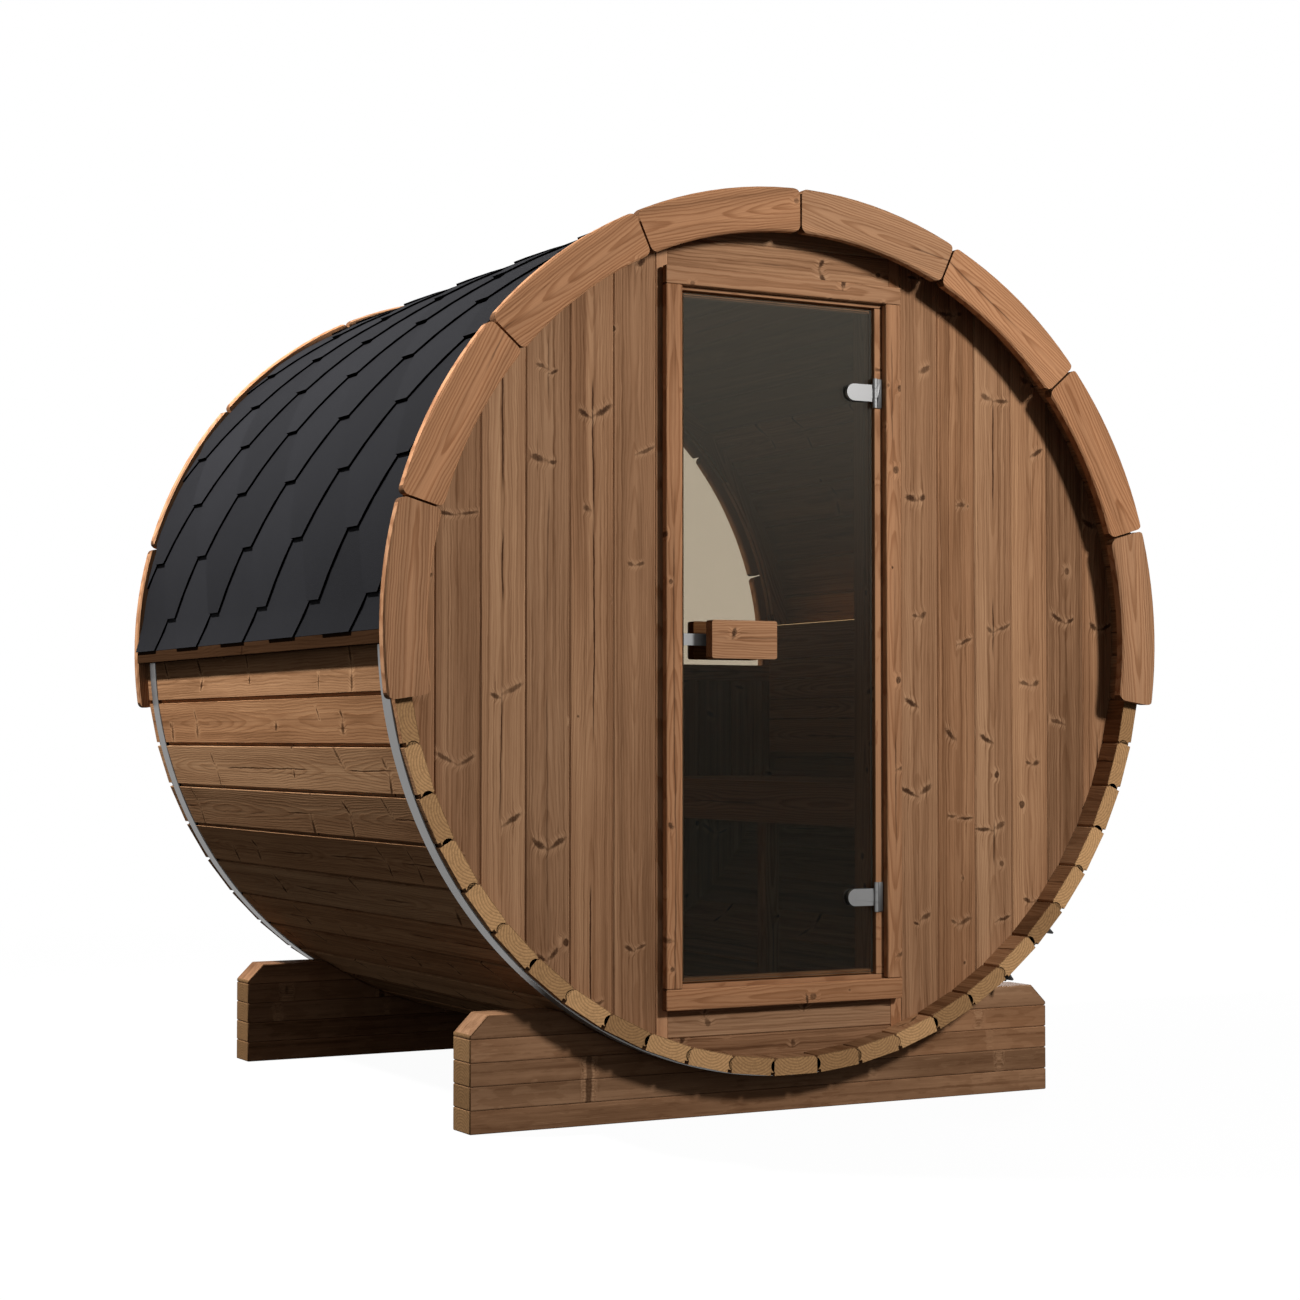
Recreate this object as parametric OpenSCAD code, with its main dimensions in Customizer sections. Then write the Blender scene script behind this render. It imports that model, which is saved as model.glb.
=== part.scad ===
// Barrel sauna: a stave barrel on two cradles, with a glazed door in its front end wall,
// a half-moon window in its back end wall, facing benches inside and a shingled top half.
// Millimetres. X is to the right seen from the front, -Y is the front, +Z is up, and the
// origin is on the ground under the middle of the barrel.

/* [Barrel] */
// Length of the staves
stave_len = 1700; // [1400:5:2400]
// Distance from the barrel axis to the flat outer face of a stave
barrel_r = 1000; // [960:5:1060]
// Thickness of a stave
stave_t = 40; // [38:1:48]
// Number of staves round the barrel, an odd number
stave_n = 55; // [51:2:59]
// Height of the barrel's underside above the ground
ground_gap = 94; // [70:1:120]
// Clearance left between neighbouring boards
board_gap = 0.4; // [0.3:0.1:0.8]
// Radius of the round bead along a stave's upper edge
bead_r = 14; // [12:0.5:17]
// Height of that bead above the edge
bead_h = 9; // [6:0.5:10]
// Width of the open groove between staves on the outside
groove_w = 10; // [4:0.5:12]
// Depth of that groove
groove_d = 6; // [3:0.5:6]
// Chamfer along the inner edges of a stave
stave_chamfer = 4; // [1:0.5:4]

/* [Hoops] */
// Width of a steel hoop
hoop_w = 44; // [20:1:48]
// Thickness of a steel hoop
hoop_t = 1.5; // [0.8:0.1:2]
// Distance from the front end of the staves to the hoop
hoop_inset = 21; // [16:1:30]
// Distance from the rear end of the staves to the hoop
rear_hoop_inset = 36; // [20:1:40]
// Angle of the hoop's tension bolt on the right, below the horizontal
clamp_angle = 48; // [40:1:54]
// Angle between the two lugs of the tension bolt
clamp_span = 9; // [5:0.5:10]
// Height of a lug above the hoop
lug_h = 24; // [16:1:32]
// Thickness of a lug
lug_t = 5; // [4:0.5:8]
// Diameter of the tension bolt
clamp_bolt_d = 8; // [6:1:10]

/* [Cradles] */
// Overall width of a cradle
cradle_w = 1548; // [1400:4:1700]
// Thickness of a cradle along the barrel
cradle_t = 90; // [70:1:110]
// Height of one board of the stack
cradle_board_h = 51.4; // [47:0.2:56]
// Number of boards in the stack
cradle_boards = 5; // [4:1:6]
// Distance from the end of the staves to the cradle
cradle_inset = 90; // [86:1:200]
// Height and width of the cut corners at the top
cradle_corner = 43; // [20:1:47]

/* [Rim trim] */
// Number of trim boards round each end
trim_n = 8; // [6:2:10]
// Angle that one trim board covers
trim_pitch = 24.7; // [20:0.1:25]
// Radial width of a trim board
trim_w = 101; // [90:1:112]
// Overhang of the trim past the staves
trim_out = 27; // [24:1:36]
// Thickness of a trim board
trim_t = 28; // [22:1:40]
// Gap between trim boards
trim_gap = 5; // [2:0.5:8]
// Radius of a trim board's corners
trim_corner = 16; // [6:1:18]
// Chamfer along a trim board's edges
trim_edge = 4; // [2:0.5:6]

/* [Roof] */
// Thickness of the lapped shingles
shingle_t = 6; // [5:0.5:10]
// Thickness of the eave batten
eave_t = 22; // [18:1:30]
// Height of the eave batten's outer face
eave_h = 30; // [24:1:50]
// Distance of the eave batten's outer edge below the barrel axis
eave_drop = 4; // [0:1:15]
// Angle above the axis where the shingles leave the barrel's curve
lift_angle = 4.8; // [4:0.1:7]

/* [End walls] */
// Distance from the end of the staves to the end wall
wall_inset = 62; // [50:1:120]
// Thickness of the end walls
wall_t = 40; // [34:1:48]
// Depth of the groove in the staves that holds an end wall
croze_d = 10; // [6:0.5:14]
// Cover width of an upright wall board
wall_board_w = 108.4; // [90:0.2:130]
// Cover width of a lying board over and under the doorway
lying_board_w = 88; // [80:1:130]
// Chamfer along a wall board's long edges
wall_chamfer = 3; // [1:0.5:5]

/* [Doorway] */
// How far the jamb stands in front of the wall's face
jamb_proud = 6; // [2:1:12]
// Clear width inside the casing
door_w = 550; // [480:2:620]
// Height of the clear opening's lower edge above the barrel's underside
door_rise = 203; // [186:1:236]
// Distance of the clear opening's upper edge below the barrel's top
door_drop = 207; // [190:1:300]
// Width of the casing's upright and top boards
casing_w = 42; // [36:1:52]
// Width of the casing's bottom board
casing_sill_w = 48; // [40:1:54]
// Thickness of the casing
casing_t = 20; // [16:1:28]
// How far the jamb stands inside the casing
jamb_step = 9; // [6:1:18]
// How far the jamb stands inside the casing on the hinge side
hinge_step = 20; // [18:1:26]
// Depth of the jamb
jamb_d = 92; // [80:1:110]
// How far the jamb reaches behind the casing
jamb_cover = 25; // [18:1:30]
// Width of the upright post beside the jamb
post_w = 29; // [24:1:40]
// Width of the door stop
stop_w = 12; // [8:1:16]
// Depth of the door stop
stop_d = 20; // [12:1:30]

/* [Door] */
// Thickness of the door glass
glass_t = 8; // [6:1:10]
// Gap round the door glass
door_gap = 5.5; // [5.5:0.5:8]
// Setback of the glass behind the jamb's face
glass_inset = 4; // [2:0.5:6]
// Height of the lower hinge's middle above the bottom of the glass
hinge_low = 176; // [120:1:260]
// Distance of the upper hinge's middle from the top of the glass
hinge_high = 198; // [120:1:260]
// Length of the hinge plate on the glass
clamp_len = 70; // [50:1:80]
// Height of the hinge plate on the glass
clamp_h = 40; // [32:1:50]
// Thickness of the hinge plate outside
clamp_t = 8; // [6:1:10]
// Thickness of the hinge plate inside
inner_clamp_t = 6; // [4:1:8]
// Thickness of the gasket between hinge plate and glass
gasket_t = 1; // [0.5:0.5:2]
// Radius of the hinge knuckle
knuckle_r = 6; // [5.5:0.5:7]
// Radius of the hinge pin
pin_r = 3; // [2:0.5:3.5]
// Clearance round the hinge pin
pin_gap = 0.08; // [0.05:0.01:0.1]
// Height of the hinge leaf on the jamb
leaf_h = 70; // [60:1:90]
// Thickness of the hinge leaf
leaf_t = 4; // [3:0.5:5]
// Width of a handle block
handle_w = 171; // [140:1:190]
// Height of a handle block
handle_h = 87; // [60:1:100]
// Thickness of a handle block
handle_t = 28; // [20:1:32]
// Radius of a handle block's corners
handle_corner = 6; // [2:1:12]
// Gap between handle block and glass
handle_gap = 25; // [24:1:34]
// Distance from the glass edge to the handle block
handle_inset = 45; // [38:1:60]
// Height of the handle's middle above the ground
handle_z = 1084; // [950:1:1200]
// Diameter of a handle spacer
spacer_d = 18; // [12:1:24]
// Distance from a handle block's end to its spacer
spacer_inset = 26; // [20:1:40]
// Height of the latch plate
latch_h = 27; // [18:1:34]
// Length of the latch plate
latch_len = 110; // [80:1:140]
// Thickness of the latch plate
latch_t = 1.6; // [1:0.1:3]

/* [Back window] */
// Height of the transom rail under the half-moon window
transom_h = 46; // [36:1:60]
// Distance of the transom's top edge below the barrel axis
transom_drop = 16; // [8:1:60]
// Thickness of the window glass
window_t = 8; // [6:1:10]
// Radial width of the arched window frame
arch_w = 52; // [42:1:60]
// How far the window glass stands in the groove of the arch
pane_seat = 10; // [6:1:14]

/* [Benches] */
// Distance of the bench seat below the barrel axis
seat_drop = 345; // [310:1:390]
// Depth of the bench from its front to the seat's back edge
seat_d = 516; // [460:1:540]
// Thickness of the seat slats
slat_t = 28; // [22:1:34]
// Number of seat slats
slat_n = 5; // [4:1:6]
// Gap between seat slats
slat_gap = 8; // [5:0.5:12]
// Clearance between the seat's back edge and the staves
seat_clear = 18.5; // [10:0.5:40]
// Height of the bench's front board
apron_h = 108; // [80:1:120]
// Thickness of the bench's front board
apron_t = 18; // [16:1:34]
// Section of the bench leg and joists
bench_post = 42; // [36:1:50]
// Distance of the leg from the middle of the barrel, towards the front
leg_y = 80; // [0:5:200]
// Clearance between a bench and the end walls
bench_clear = 6; // [3:1:12]
// Distance of the end joists from the ends of the bench
joist_inset = 40; // [20:5:120]

/* [Backrests] */
// Distance of the lowest backrest slat's lower edge below the barrel axis
backrest_drop = 274; // [250:1:300]
// Height of the wide slat at the bottom
low_slat_h = 94; // [80:1:100]
// Height of the wide slat at the top
top_slat_h = 98; // [80:1:110]
// Height of a narrow backrest slat
narrow_slat_h = 54; // [40:1:60]
// Number of narrow backrest slats
narrow_slat_n = 3; // [2:1:3]
// Gap between backrest slats
backrest_gap = 4; // [3:0.5:8]
// Thickness of a backrest slat
backrest_t = 22; // [16:1:26]
// Distance from the face of the backrest to the staves beside it
backrest_set = 160; // [120:1:190]
// How much shorter the backrest is than the bench
backrest_short = 144; // [90:2:480]
// Width of the cleat behind the backrest
cleat_w = 45; // [35:1:60]
// Distance of the cleats from the ends of the backrest
cleat_inset = 120; // [80:5:300]
// Height of the light strip behind the top slat
light_h = 12; // [8:1:16]
// Thickness of the light strip
light_t = 8; // [5:1:10]

/* [Hidden] */
$fn = 96;

// Small clearance between pieces that seat on each other
seat_gap = 0.3;
// Length added to a cutting shape so that it passes right through
over = 20;

axis_z = ground_gap + barrel_r;
half_len = stave_len / 2;
half_count = (stave_n - 1) / 2;
stave_angle = 360 / stave_n;
half_angle = stave_angle / 2;
inner_r = barrel_r - stave_t;
mid_r = barrel_r - stave_t / 2;
corner_r = barrel_r / cos(half_angle);
room_r = inner_r - seat_gap;
wall_r = inner_r + croze_d - 2 * seat_gap;

hoop_r = corner_r + seat_gap;
roof_r = hoop_r + hoop_t + seat_gap;
trim_outer_r = barrel_r + trim_out;
trim_inner_r = trim_outer_r - trim_w;

front_face = -half_len + wall_inset;
room_front = front_face + wall_t;
room_len = stave_len - 2 * (wall_inset + wall_t);

// Doorway: edges of the casing's opening, of the jamb and of the glass
door_left = -door_w / 2;
door_right = door_w / 2;
door_z = ground_gap + door_rise;
door_top = axis_z + barrel_r - door_drop;
jamb_left = door_left + jamb_step;
jamb_right = door_right - hinge_step;
jamb_low = door_z + jamb_step;
jamb_high = door_top - jamb_step;
jamb_outer = door_w / 2 + jamb_cover;
jamb_outer_low = door_z - jamb_cover + board_gap;
jamb_outer_high = door_top + jamb_cover - board_gap;
post_outer = jamb_outer + post_w;
lying_x = jamb_outer - board_gap;
glass_left = jamb_left + door_gap;
glass_right = jamb_right - door_gap;
glass_low = jamb_low + door_gap;
glass_high = jamb_high - door_gap;
jamb_front = front_face - jamb_proud;
glass_front = jamb_front + glass_inset;
glass_back = glass_front + glass_t;

// Hinge: the pin stands in the gap beside the glass, in front of the jamb
hinge_x = (glass_right + jamb_right) / 2;
hinge_y = jamb_front - knuckle_r;
hinge_z = [glass_low + hinge_low, glass_high - hinge_high];
clamp_front = glass_front - gasket_t - clamp_t;
clamp_x = hinge_x - knuckle_r - 1;
knuckle_gap = 0.5;

handle_x = glass_left + handle_inset;
handle_out_y = glass_front - handle_gap - handle_t;
handle_in_y = glass_back + handle_gap;

transom_top = axis_z - transom_drop;
transom_low = transom_top - transom_h;
rear_face = half_len - wall_inset;
arch_r = wall_r - arch_w;
pane_y = rear_face - wall_t / 2 - window_t / 2;

bench_len = room_len - 2 * bench_clear;
seat_z = axis_z - seat_drop;
seat_back = sqrt(pow(inner_r, 2) - pow(seat_drop + slat_t, 2)) - seat_clear;
aisle_half = seat_back - seat_d;
backrest_x = inner_r - backrest_set;
backrest_z = axis_z - backrest_drop;
backrest_len = bench_len - backrest_short;
backrest_y = -bench_len / 2;
backrest_h = low_slat_h + top_slat_h + narrow_slat_n * narrow_slat_h + (narrow_slat_n + 1) * backrest_gap;

wood = "#8f6a49";
light_wood = "#a97c57";
end_wood = "#9a7649";
steel = "#b9bcc0";
black = "#1c1c1e";
felt = "#2c2d30";
bronze = [0.35, 0.31, 0.27, 0.6];
warm = "#ffc27a";

// Axis-aligned box between two corners
module span(low, high) {
    translate(low) cube(high - low);
}

// Extrudes a shape drawn in X and Z along Y, from y0 over a length
module along_y(y0, len) {
    translate([0, y0 + len, 0]) rotate([90, 0, 0]) linear_extrude(len) children();
}

// Solid round bar along the barrel's axis
module barrel_bar(r, y0, len) {
    translate([0, y0 + len, axis_z]) rotate([90, 0, 0]) cylinder(r = r, h = len, $fn = 360);
}

// The right-hand copy of a piece is the left-hand one mirrored
module on_side(side) {
    mirror([side < 0 ? 1 : 0, 0, 0]) children();
}

// STAVES

// Works in the frame of one of a stave's edges: Y runs out along the joint line
module at_edge(side) {
    rotate(-side * half_angle) children();
}

// Plain section of a stave between its two joint lines, outer face up
module stave_blank() {
    low = inner_r * tan(half_angle) - board_gap / 2;
    high = barrel_r * tan(half_angle) - board_gap / 2;
    c = stave_chamfer;
    polygon([
        [-low + c, inner_r], [low - c, inner_r], [low, inner_r + c], [high, barrel_r],
        [-high, barrel_r], [-low, inner_r + c]
    ]);
}

module bead(side) {
    at_edge(side) translate([-side * (bead_r - bead_h), mid_r]) circle(bead_r - board_gap / 2);
}

// Hollow that takes the neighbour's bead, and the open groove outside it
module cove(side) {
    at_edge(side) {
        translate([side * (bead_r - bead_h), mid_r]) circle(bead_r + board_gap / 2);
        translate([side > 0 ? -groove_w : -over, barrel_r - groove_d])
            square([groove_w + over, groove_d + over]);
    }
}

// Section of a stave: each side is 1 for a bead or 0 for a cove
module stave_section(minus_bead, plus_bead) {
    difference() {
        union() {
            stave_blank();
            if (minus_bead) bead(-1);
            if (plus_bead) bead(1);
        }
        if (!minus_bead) cove(-1);
        if (!plus_bead) cove(1);
    }
}

// One stave, counted from the bottom of the barrel: positive numbers go up the right side
module stave(k) {
    closing = k == -half_count;
    turn = k * stave_angle;
    translate([0, 0, axis_z]) rotate([0, -turn, 0]) difference() {
        along_y(-half_len, stave_len) rotate(180)
            stave_section(k >= 0 ? 1 : 0, k <= 0 && !closing ? 1 : 0);
        for (end = [-1, 1]) croze(end);
    }
}

// Groove across the inside of a stave that holds an end wall
module croze(end) {
    middle = end * (half_len - wall_inset - wall_t / 2);
    width = wall_t + 2 * seat_gap;
    reach = 2 * barrel_r * tan(stave_angle);
    translate([-reach / 2, middle - width / 2, -inner_r - croze_d])
        cube([reach, width, croze_d + over]);
}

// Staves whose middles lie in one run of the barrel, counted in eighths from the bottom
module staves(eighth) {
    color(wood)
        for (k = [-half_count : half_count]) {
            turn = k * stave_angle;
            own = abs(turn) > 165 ? 4 : max(-3, min(3, floor((turn + 22.5) / 45)));
            if (own == eighth) stave(k);
        }
}

// HOOPS

module hoop(end) {
    y0 = end < 0 ? -half_len + hoop_inset : half_len - rear_hoop_inset - hoop_w;
    color(steel) difference() {
        barrel_bar(hoop_r + hoop_t, y0, hoop_w);
        barrel_bar(hoop_r, y0 - over, hoop_w + 2 * over);
    }
}

// Two lugs on the hoop, drawn together by a bolt
module hoop_clamp(end) {
    middle = end * (half_len - (end < 0 ? hoop_inset : rear_hoop_inset) - hoop_w / 2);
    base = hoop_r + hoop_t + seat_gap;
    bolt_r = base + lug_h / 2;
    bolt_len = 2 * bolt_r * sin(clamp_span / 2) + 4 * lug_t;
    color(black) translate([0, middle, axis_z]) rotate([0, 90 + clamp_angle, 0]) {
        for (side = [-1, 1]) rotate([0, side * clamp_span / 2, 0])
            translate([-lug_t / 2, -hoop_w / 2, base]) cube([lug_t, hoop_w, lug_h]);
        translate([-bolt_len / 2, 0, bolt_r]) rotate([0, 90, 0])
            cylinder(d = clamp_bolt_d, h = bolt_len);
        for (side = [-1, 1]) translate([side * (bolt_len / 2 - lug_t / 2) - lug_t / 2, 0, bolt_r])
            rotate([0, 90, 0]) cylinder(d = 2 * clamp_bolt_d, h = lug_t, $fn = 6);
    }
}

module hoop_clamps() {
    for (end = [-1, 1]) hoop_clamp(end);
}

// CRADLES

module cradle_outline() {
    w = cradle_w / 2;
    h = cradle_boards * cradle_board_h;
    c = cradle_corner;
    polygon([[-w, 0], [w, 0], [w, h - c], [w - c, h], [-w + c, h], [-w, h - c]]);
}

// A stack of boards cut to the barrel's curve
module cradle(end) {
    y0 = end < 0 ? -half_len + cradle_inset : half_len - cradle_inset - cradle_t;
    color(wood) along_y(y0, cradle_t) for (i = [0 : cradle_boards - 1]) intersection() {
        difference() {
            cradle_outline();
            translate([0, axis_z]) circle(corner_r + seat_gap, $fn = 360);
        }
        translate([-cradle_w, i * cradle_board_h + (i > 0 ? board_gap : 0)])
            square([2 * cradle_w, cradle_board_h - (i > 0 ? board_gap : 0)]);
    }
}

// RIM TRIM

// Points of a rounded corner, from one direction to another
function corner_points(centre, r, from, to, steps = 5) =
    let (turn = (to - from) / steps)
    [for (i = [0 : steps]) centre + r * [cos(from + turn * i), sin(from + turn * i)]];

// Wedge with rounded corners that cuts one board out of the trim's ring, upright about X = 0
module trim_wedge() {
    half = trim_pitch / 2 - asin(trim_gap / 2 / trim_inner_r);
    c = trim_corner;
    // Middles of the right-hand corners, c inside the board's end and its curved edges
    outer = trim_outer_r - c;
    inner = trim_inner_r + c;
    outer_turn = half - asin(c / outer);
    inner_turn = half - asin(c / inner);
    right = concat(
        corner_points(inner * [sin(inner_turn), cos(inner_turn)], c, -90 - half, -half),
        corner_points(outer * [sin(outer_turn), cos(outer_turn)], c, -half, 90 - half)
    );
    left = [for (i = [len(right) - 1 : -1 : 0]) [-right[i][0], right[i][1]]];
    crown = [[0, trim_outer_r + over]];
    foot = [[0, trim_inner_r - over - trim_inner_r * (1 - cos(half))]];
    polygon(concat(foot, right, crown, left));
}

// Ring with chamfered edges that all the trim boards are cut from
module trim_ring() {
    e = trim_edge;
    rotate_extrude($fn = 360) polygon([
        [trim_inner_r + e, 0], [trim_outer_r - e, 0], [trim_outer_r, e], [trim_outer_r, trim_t - e],
        [trim_outer_r - e, trim_t], [trim_inner_r + e, trim_t], [trim_inner_r, trim_t - e], [trim_inner_r, e]
    ]);
}

module rim_trim(end) {
    y0 = end < 0 ? -half_len : half_len + trim_t;
    color(light_wood) translate([0, y0, axis_z]) rotate([90, 0, 0])
        for (i = [0 : trim_n - 1]) intersection() {
            trim_ring();
            rotate((i - (trim_n - 1) / 2) * trim_pitch) translate([0, 0, -over])
                linear_extrude(trim_t + 2 * over) trim_wedge();
        }
}

// ROOF

eave_x = roof_r;
eave_face = eave_x + eave_t;
// Inner side of the shingles where they leave the curve, and where they end on the batten
lift = roof_r * [cos(lift_angle), sin(lift_angle)];
lip_end = [eave_face, seat_gap - eave_drop];
lip_run = (lip_end - lift) / norm(lip_end - lift);
lip_normal = [-lip_run[1], lip_run[0]];
eave_top = -eave_drop + eave_t * (lift[1] - lip_end[1]) / (lip_end[0] - lift[0]);

module half_plane_above(z) {
    translate([-2 * barrel_r, z]) square([4 * barrel_r, 2 * barrel_r]);
}

// Straight run of the shingles out over the batten, drawn for the right-hand side
module shingle_lip() {
    polygon([
        lift - 6 * lip_run, lip_end, lip_end + shingle_t * lip_normal,
        lift + shingle_t * lip_normal - 6 * lip_run
    ]);
}

// Section of the shingle layer over the top half of the barrel
module shingle_section() {
    difference() {
        union() {
            intersection() {
                circle(roof_r + shingle_t, $fn = 360);
                half_plane_above(lift[1] - 2);
            }
            shingle_lip();
            mirror([1, 0]) shingle_lip();
        }
        circle(roof_r, $fn = 360);
    }
}

module roof_shingles() {
    len = stave_len - 2 * seat_gap;
    color(felt) translate([0, 0, axis_z]) along_y(-len / 2, len) shingle_section();
}

module eave_batten(side) {
    len = stave_len - 2 * seat_gap;
    color(wood) translate([0, 0, axis_z]) along_y(-len / 2, len) polygon([
        [side * eave_x, -eave_drop - eave_h], [side * eave_face, -eave_drop - eave_h],
        [side * eave_face, -eave_drop], [side * eave_x, eave_top]
    ]);
}

// END WALLS

// Keeps what lies inside the round end wall
module inside_wall(face) {
    intersection() {
        children();
        barrel_bar(wall_r, face, wall_t);
    }
}

// Section of an upright wall board with chamfered edges
module board_section(x0, x1) {
    c = wall_chamfer;
    polygon([
        [x0 + c, 0], [x1 - c, 0], [x1, c], [x1, wall_t - c],
        [x1 - c, wall_t], [x0 + c, wall_t], [x0, wall_t - c], [x0, c]
    ]);
}

module upright_board(face, x0, x1, z0, z1) {
    translate([0, face, z0]) linear_extrude(z1 - z0) board_section(x0, x1);
}

// Lying board, as long on either side of the middle, between two heights
module lying_board(face, half, z0, z1) {
    translate([-half, face, 0]) rotate([90, 0, 90]) linear_extrude(2 * half) rotate(90) mirror([0, 1])
        board_section(z0, z1);
}

// Wall beside the doorway, in upright boards from the post to the staves
module front_wall_side(side) {
    count = ceil((wall_r - post_outer) / wall_board_w);
    color(wood) on_side(side) inside_wall(front_face)
        for (i = [0 : count - 1]) {
            x0 = post_outer + board_gap + i * wall_board_w;
            upright_board(front_face, x0, x0 + wall_board_w - board_gap, 0, 2 * axis_z);
        }
}

// Lying boards between the posts, upwards from a height
module front_wall_header() {
    low = jamb_outer_high + board_gap;
    count = ceil((axis_z + wall_r - low) / lying_board_w);
    color(wood) inside_wall(front_face) for (i = [0 : count - 1]) {
        z0 = low + i * lying_board_w;
        lying_board(front_face, lying_x, z0, z0 + lying_board_w - board_gap);
    }
}

// Lying boards between the posts, downwards from a height
module front_wall_sill() {
    high = jamb_outer_low - board_gap;
    count = ceil((high - axis_z + wall_r) / lying_board_w);
    color(wood) inside_wall(front_face) for (i = [0 : count - 1]) {
        z1 = high - i * lying_board_w;
        lying_board(front_face, lying_x, z1 - lying_board_w + board_gap, z1);
    }
}

module door_posts() {
    color(wood) for (side = [-1, 1]) on_side(side) inside_wall(front_face)
        span([jamb_outer, front_face, 0], [post_outer, front_face + wall_t, 2 * axis_z]);
}

// DOORWAY

// Frame of four boards round an opening, uprights between the two lying boards
module board_frame(y0, y1, outer, inner) {
    g = board_gap / 2;
    span([outer[0], y0, outer[2]], [outer[1], y1, inner[2] - g]);
    span([outer[0], y0, inner[3] + g], [outer[1], y1, outer[3]]);
    span([outer[0], y0, inner[2] + g], [inner[0], y1, inner[3] - g]);
    span([inner[1], y0, inner[2] + g], [outer[1], y1, inner[3] - g]);
}

module door_casing() {
    color(light_wood) board_frame(
        jamb_front - casing_t, jamb_front - seat_gap,
        [door_left - casing_w, door_right + casing_w, door_z - casing_sill_w, door_top + casing_w],
        [door_left, door_right, door_z, door_top]
    );
}

module door_jamb() {
    color(light_wood) board_frame(
        jamb_front, jamb_front + jamb_d,
        [-jamb_outer + board_gap, jamb_outer - board_gap, jamb_outer_low, jamb_outer_high],
        [jamb_left, jamb_right, jamb_low, jamb_high]
    );
}

// Stop behind the glass on the latch side, at the top and at the bottom
module door_stop() {
    y0 = glass_back + door_gap;
    y1 = y0 + stop_d;
    g = seat_gap;
    x1 = jamb_right - g;
    color(light_wood) {
        span([jamb_left + g, y0, jamb_low + stop_w + g], [jamb_left + stop_w, y1, jamb_high - stop_w - g]);
        span([jamb_left + g, y0, jamb_low + g], [x1, y1, jamb_low + stop_w]);
        span([jamb_left + g, y0, jamb_high - stop_w], [x1, y1, jamb_high - g]);
    }
}

// Leaf on the jamb with two knuckles and the pin
module hinge_leaf(z) {
    third = leaf_h / 3;
    clear = knuckle_r + 1;
    translate([hinge_x, hinge_y, z]) {
        difference() {
            union() {
                for (side = [-1, 1]) translate([0, 0, side * third]) {
                    cylinder(r = knuckle_r, h = third - 2 * knuckle_gap, center = true);
                    translate([0, knuckle_r - leaf_t, -third / 2 + knuckle_gap])
                        cube([clear + 1, leaf_t - seat_gap, third - 2 * knuckle_gap]);
                }
                translate([clear, knuckle_r - leaf_t, -leaf_h / 2 + knuckle_gap])
                    cube([door_right - hinge_x - clear - 2, leaf_t - seat_gap, leaf_h - 2 * knuckle_gap]);
            }
            translate([0, 0, -leaf_h]) cylinder(r = pin_r, h = 2 * leaf_h);
        }
        cylinder(r = pin_r, h = leaf_h - 2 * knuckle_gap, center = true);
    }
}

module hinge_leaves() {
    color(steel) for (z = hinge_z) hinge_leaf(z);
}

// DOOR

module door_glass() {
    color(bronze) span([glass_left, glass_front, glass_low], [glass_right, glass_back, glass_high]);
}

// Outline of a hinge plate in X and Z: square at the glass edge, round at the far end
module clamp_outline() {
    r = clamp_h / 2;
    translate([-clamp_len + r, 0]) circle(r);
    translate([-clamp_len + r, -r]) square([clamp_len - r, clamp_h]);
}

// Plates on both sides of the glass, and the knuckle that turns on the pin
module hinge_clamp(z) {
    turning = leaf_h / 3 - 2 * knuckle_gap;
    web_y = clamp_front - hinge_y;
    translate([clamp_x, 0, z]) {
        along_y(clamp_front, clamp_t) clamp_outline();
        along_y(glass_back + gasket_t, inner_clamp_t) clamp_outline();
    }
    translate([hinge_x, hinge_y, z]) difference() {
        union() {
            cylinder(r = knuckle_r, h = turning, center = true);
            translate([clamp_x - hinge_x - 1, web_y, -turning / 2])
                cube([hinge_x - clamp_x + 1, knuckle_r - web_y, turning]);
        }
        cylinder(r = pin_r + pin_gap, h = leaf_h, center = true);
    }
}

module hinge_clamps() {
    color(steel) for (z = hinge_z) hinge_clamp(z);
}

module hinge_gaskets() {
    color(black) for (z = hinge_z, y = [glass_front - gasket_t, glass_back])
        translate([clamp_x, 0, z]) along_y(y, gasket_t) clamp_outline();
}

module handle_block(y0) {
    w = handle_w / 2 - handle_corner;
    h = handle_h / 2 - handle_corner;
    outline = [for (i = [0 : 3]) each corner_points(
        [(i == 0 || i == 3 ? w : -w), (i < 2 ? h : -h)], handle_corner, 90 * i, 90 * i + 90, 4
    )];
    color(light_wood) translate([handle_x + handle_w / 2, 0, handle_z])
        along_y(y0, handle_t) polygon(outline);
}

module handle_spacers() {
    color(steel) for (x = [handle_x + spacer_inset, handle_x + handle_w - spacer_inset]) {
        translate([x, glass_front, handle_z]) rotate([90, 0, 0]) cylinder(d = spacer_d, h = handle_gap);
        translate([x, handle_in_y, handle_z]) rotate([90, 0, 0]) cylinder(d = spacer_d, h = handle_gap);
    }
}

// Strip on the glass from its edge to the first spacer
module latch_plate() {
    reach = min(latch_len, handle_inset + spacer_inset - spacer_d / 2 - 1);
    color(steel) span(
        [glass_left, glass_front - latch_t, handle_z - latch_h / 2],
        [glass_left + reach, glass_front, handle_z + latch_h / 2]
    );
}

// BACK WALL

module rear_wall() {
    count = ceil(2 * wall_r / wall_board_w);
    face = rear_face - wall_t;
    start = -count * wall_board_w / 2;
    color(wood) inside_wall(face) for (i = [0 : count - 1]) {
        x0 = start + i * wall_board_w;
        upright_board(face, x0, x0 + wall_board_w - board_gap, 0, transom_low - board_gap);
    }
}

module rear_transom() {
    face = rear_face - wall_t;
    color(light_wood) inside_wall(face)
        span([-2 * barrel_r, face, transom_low], [2 * barrel_r, rear_face, transom_top]);
}

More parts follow.
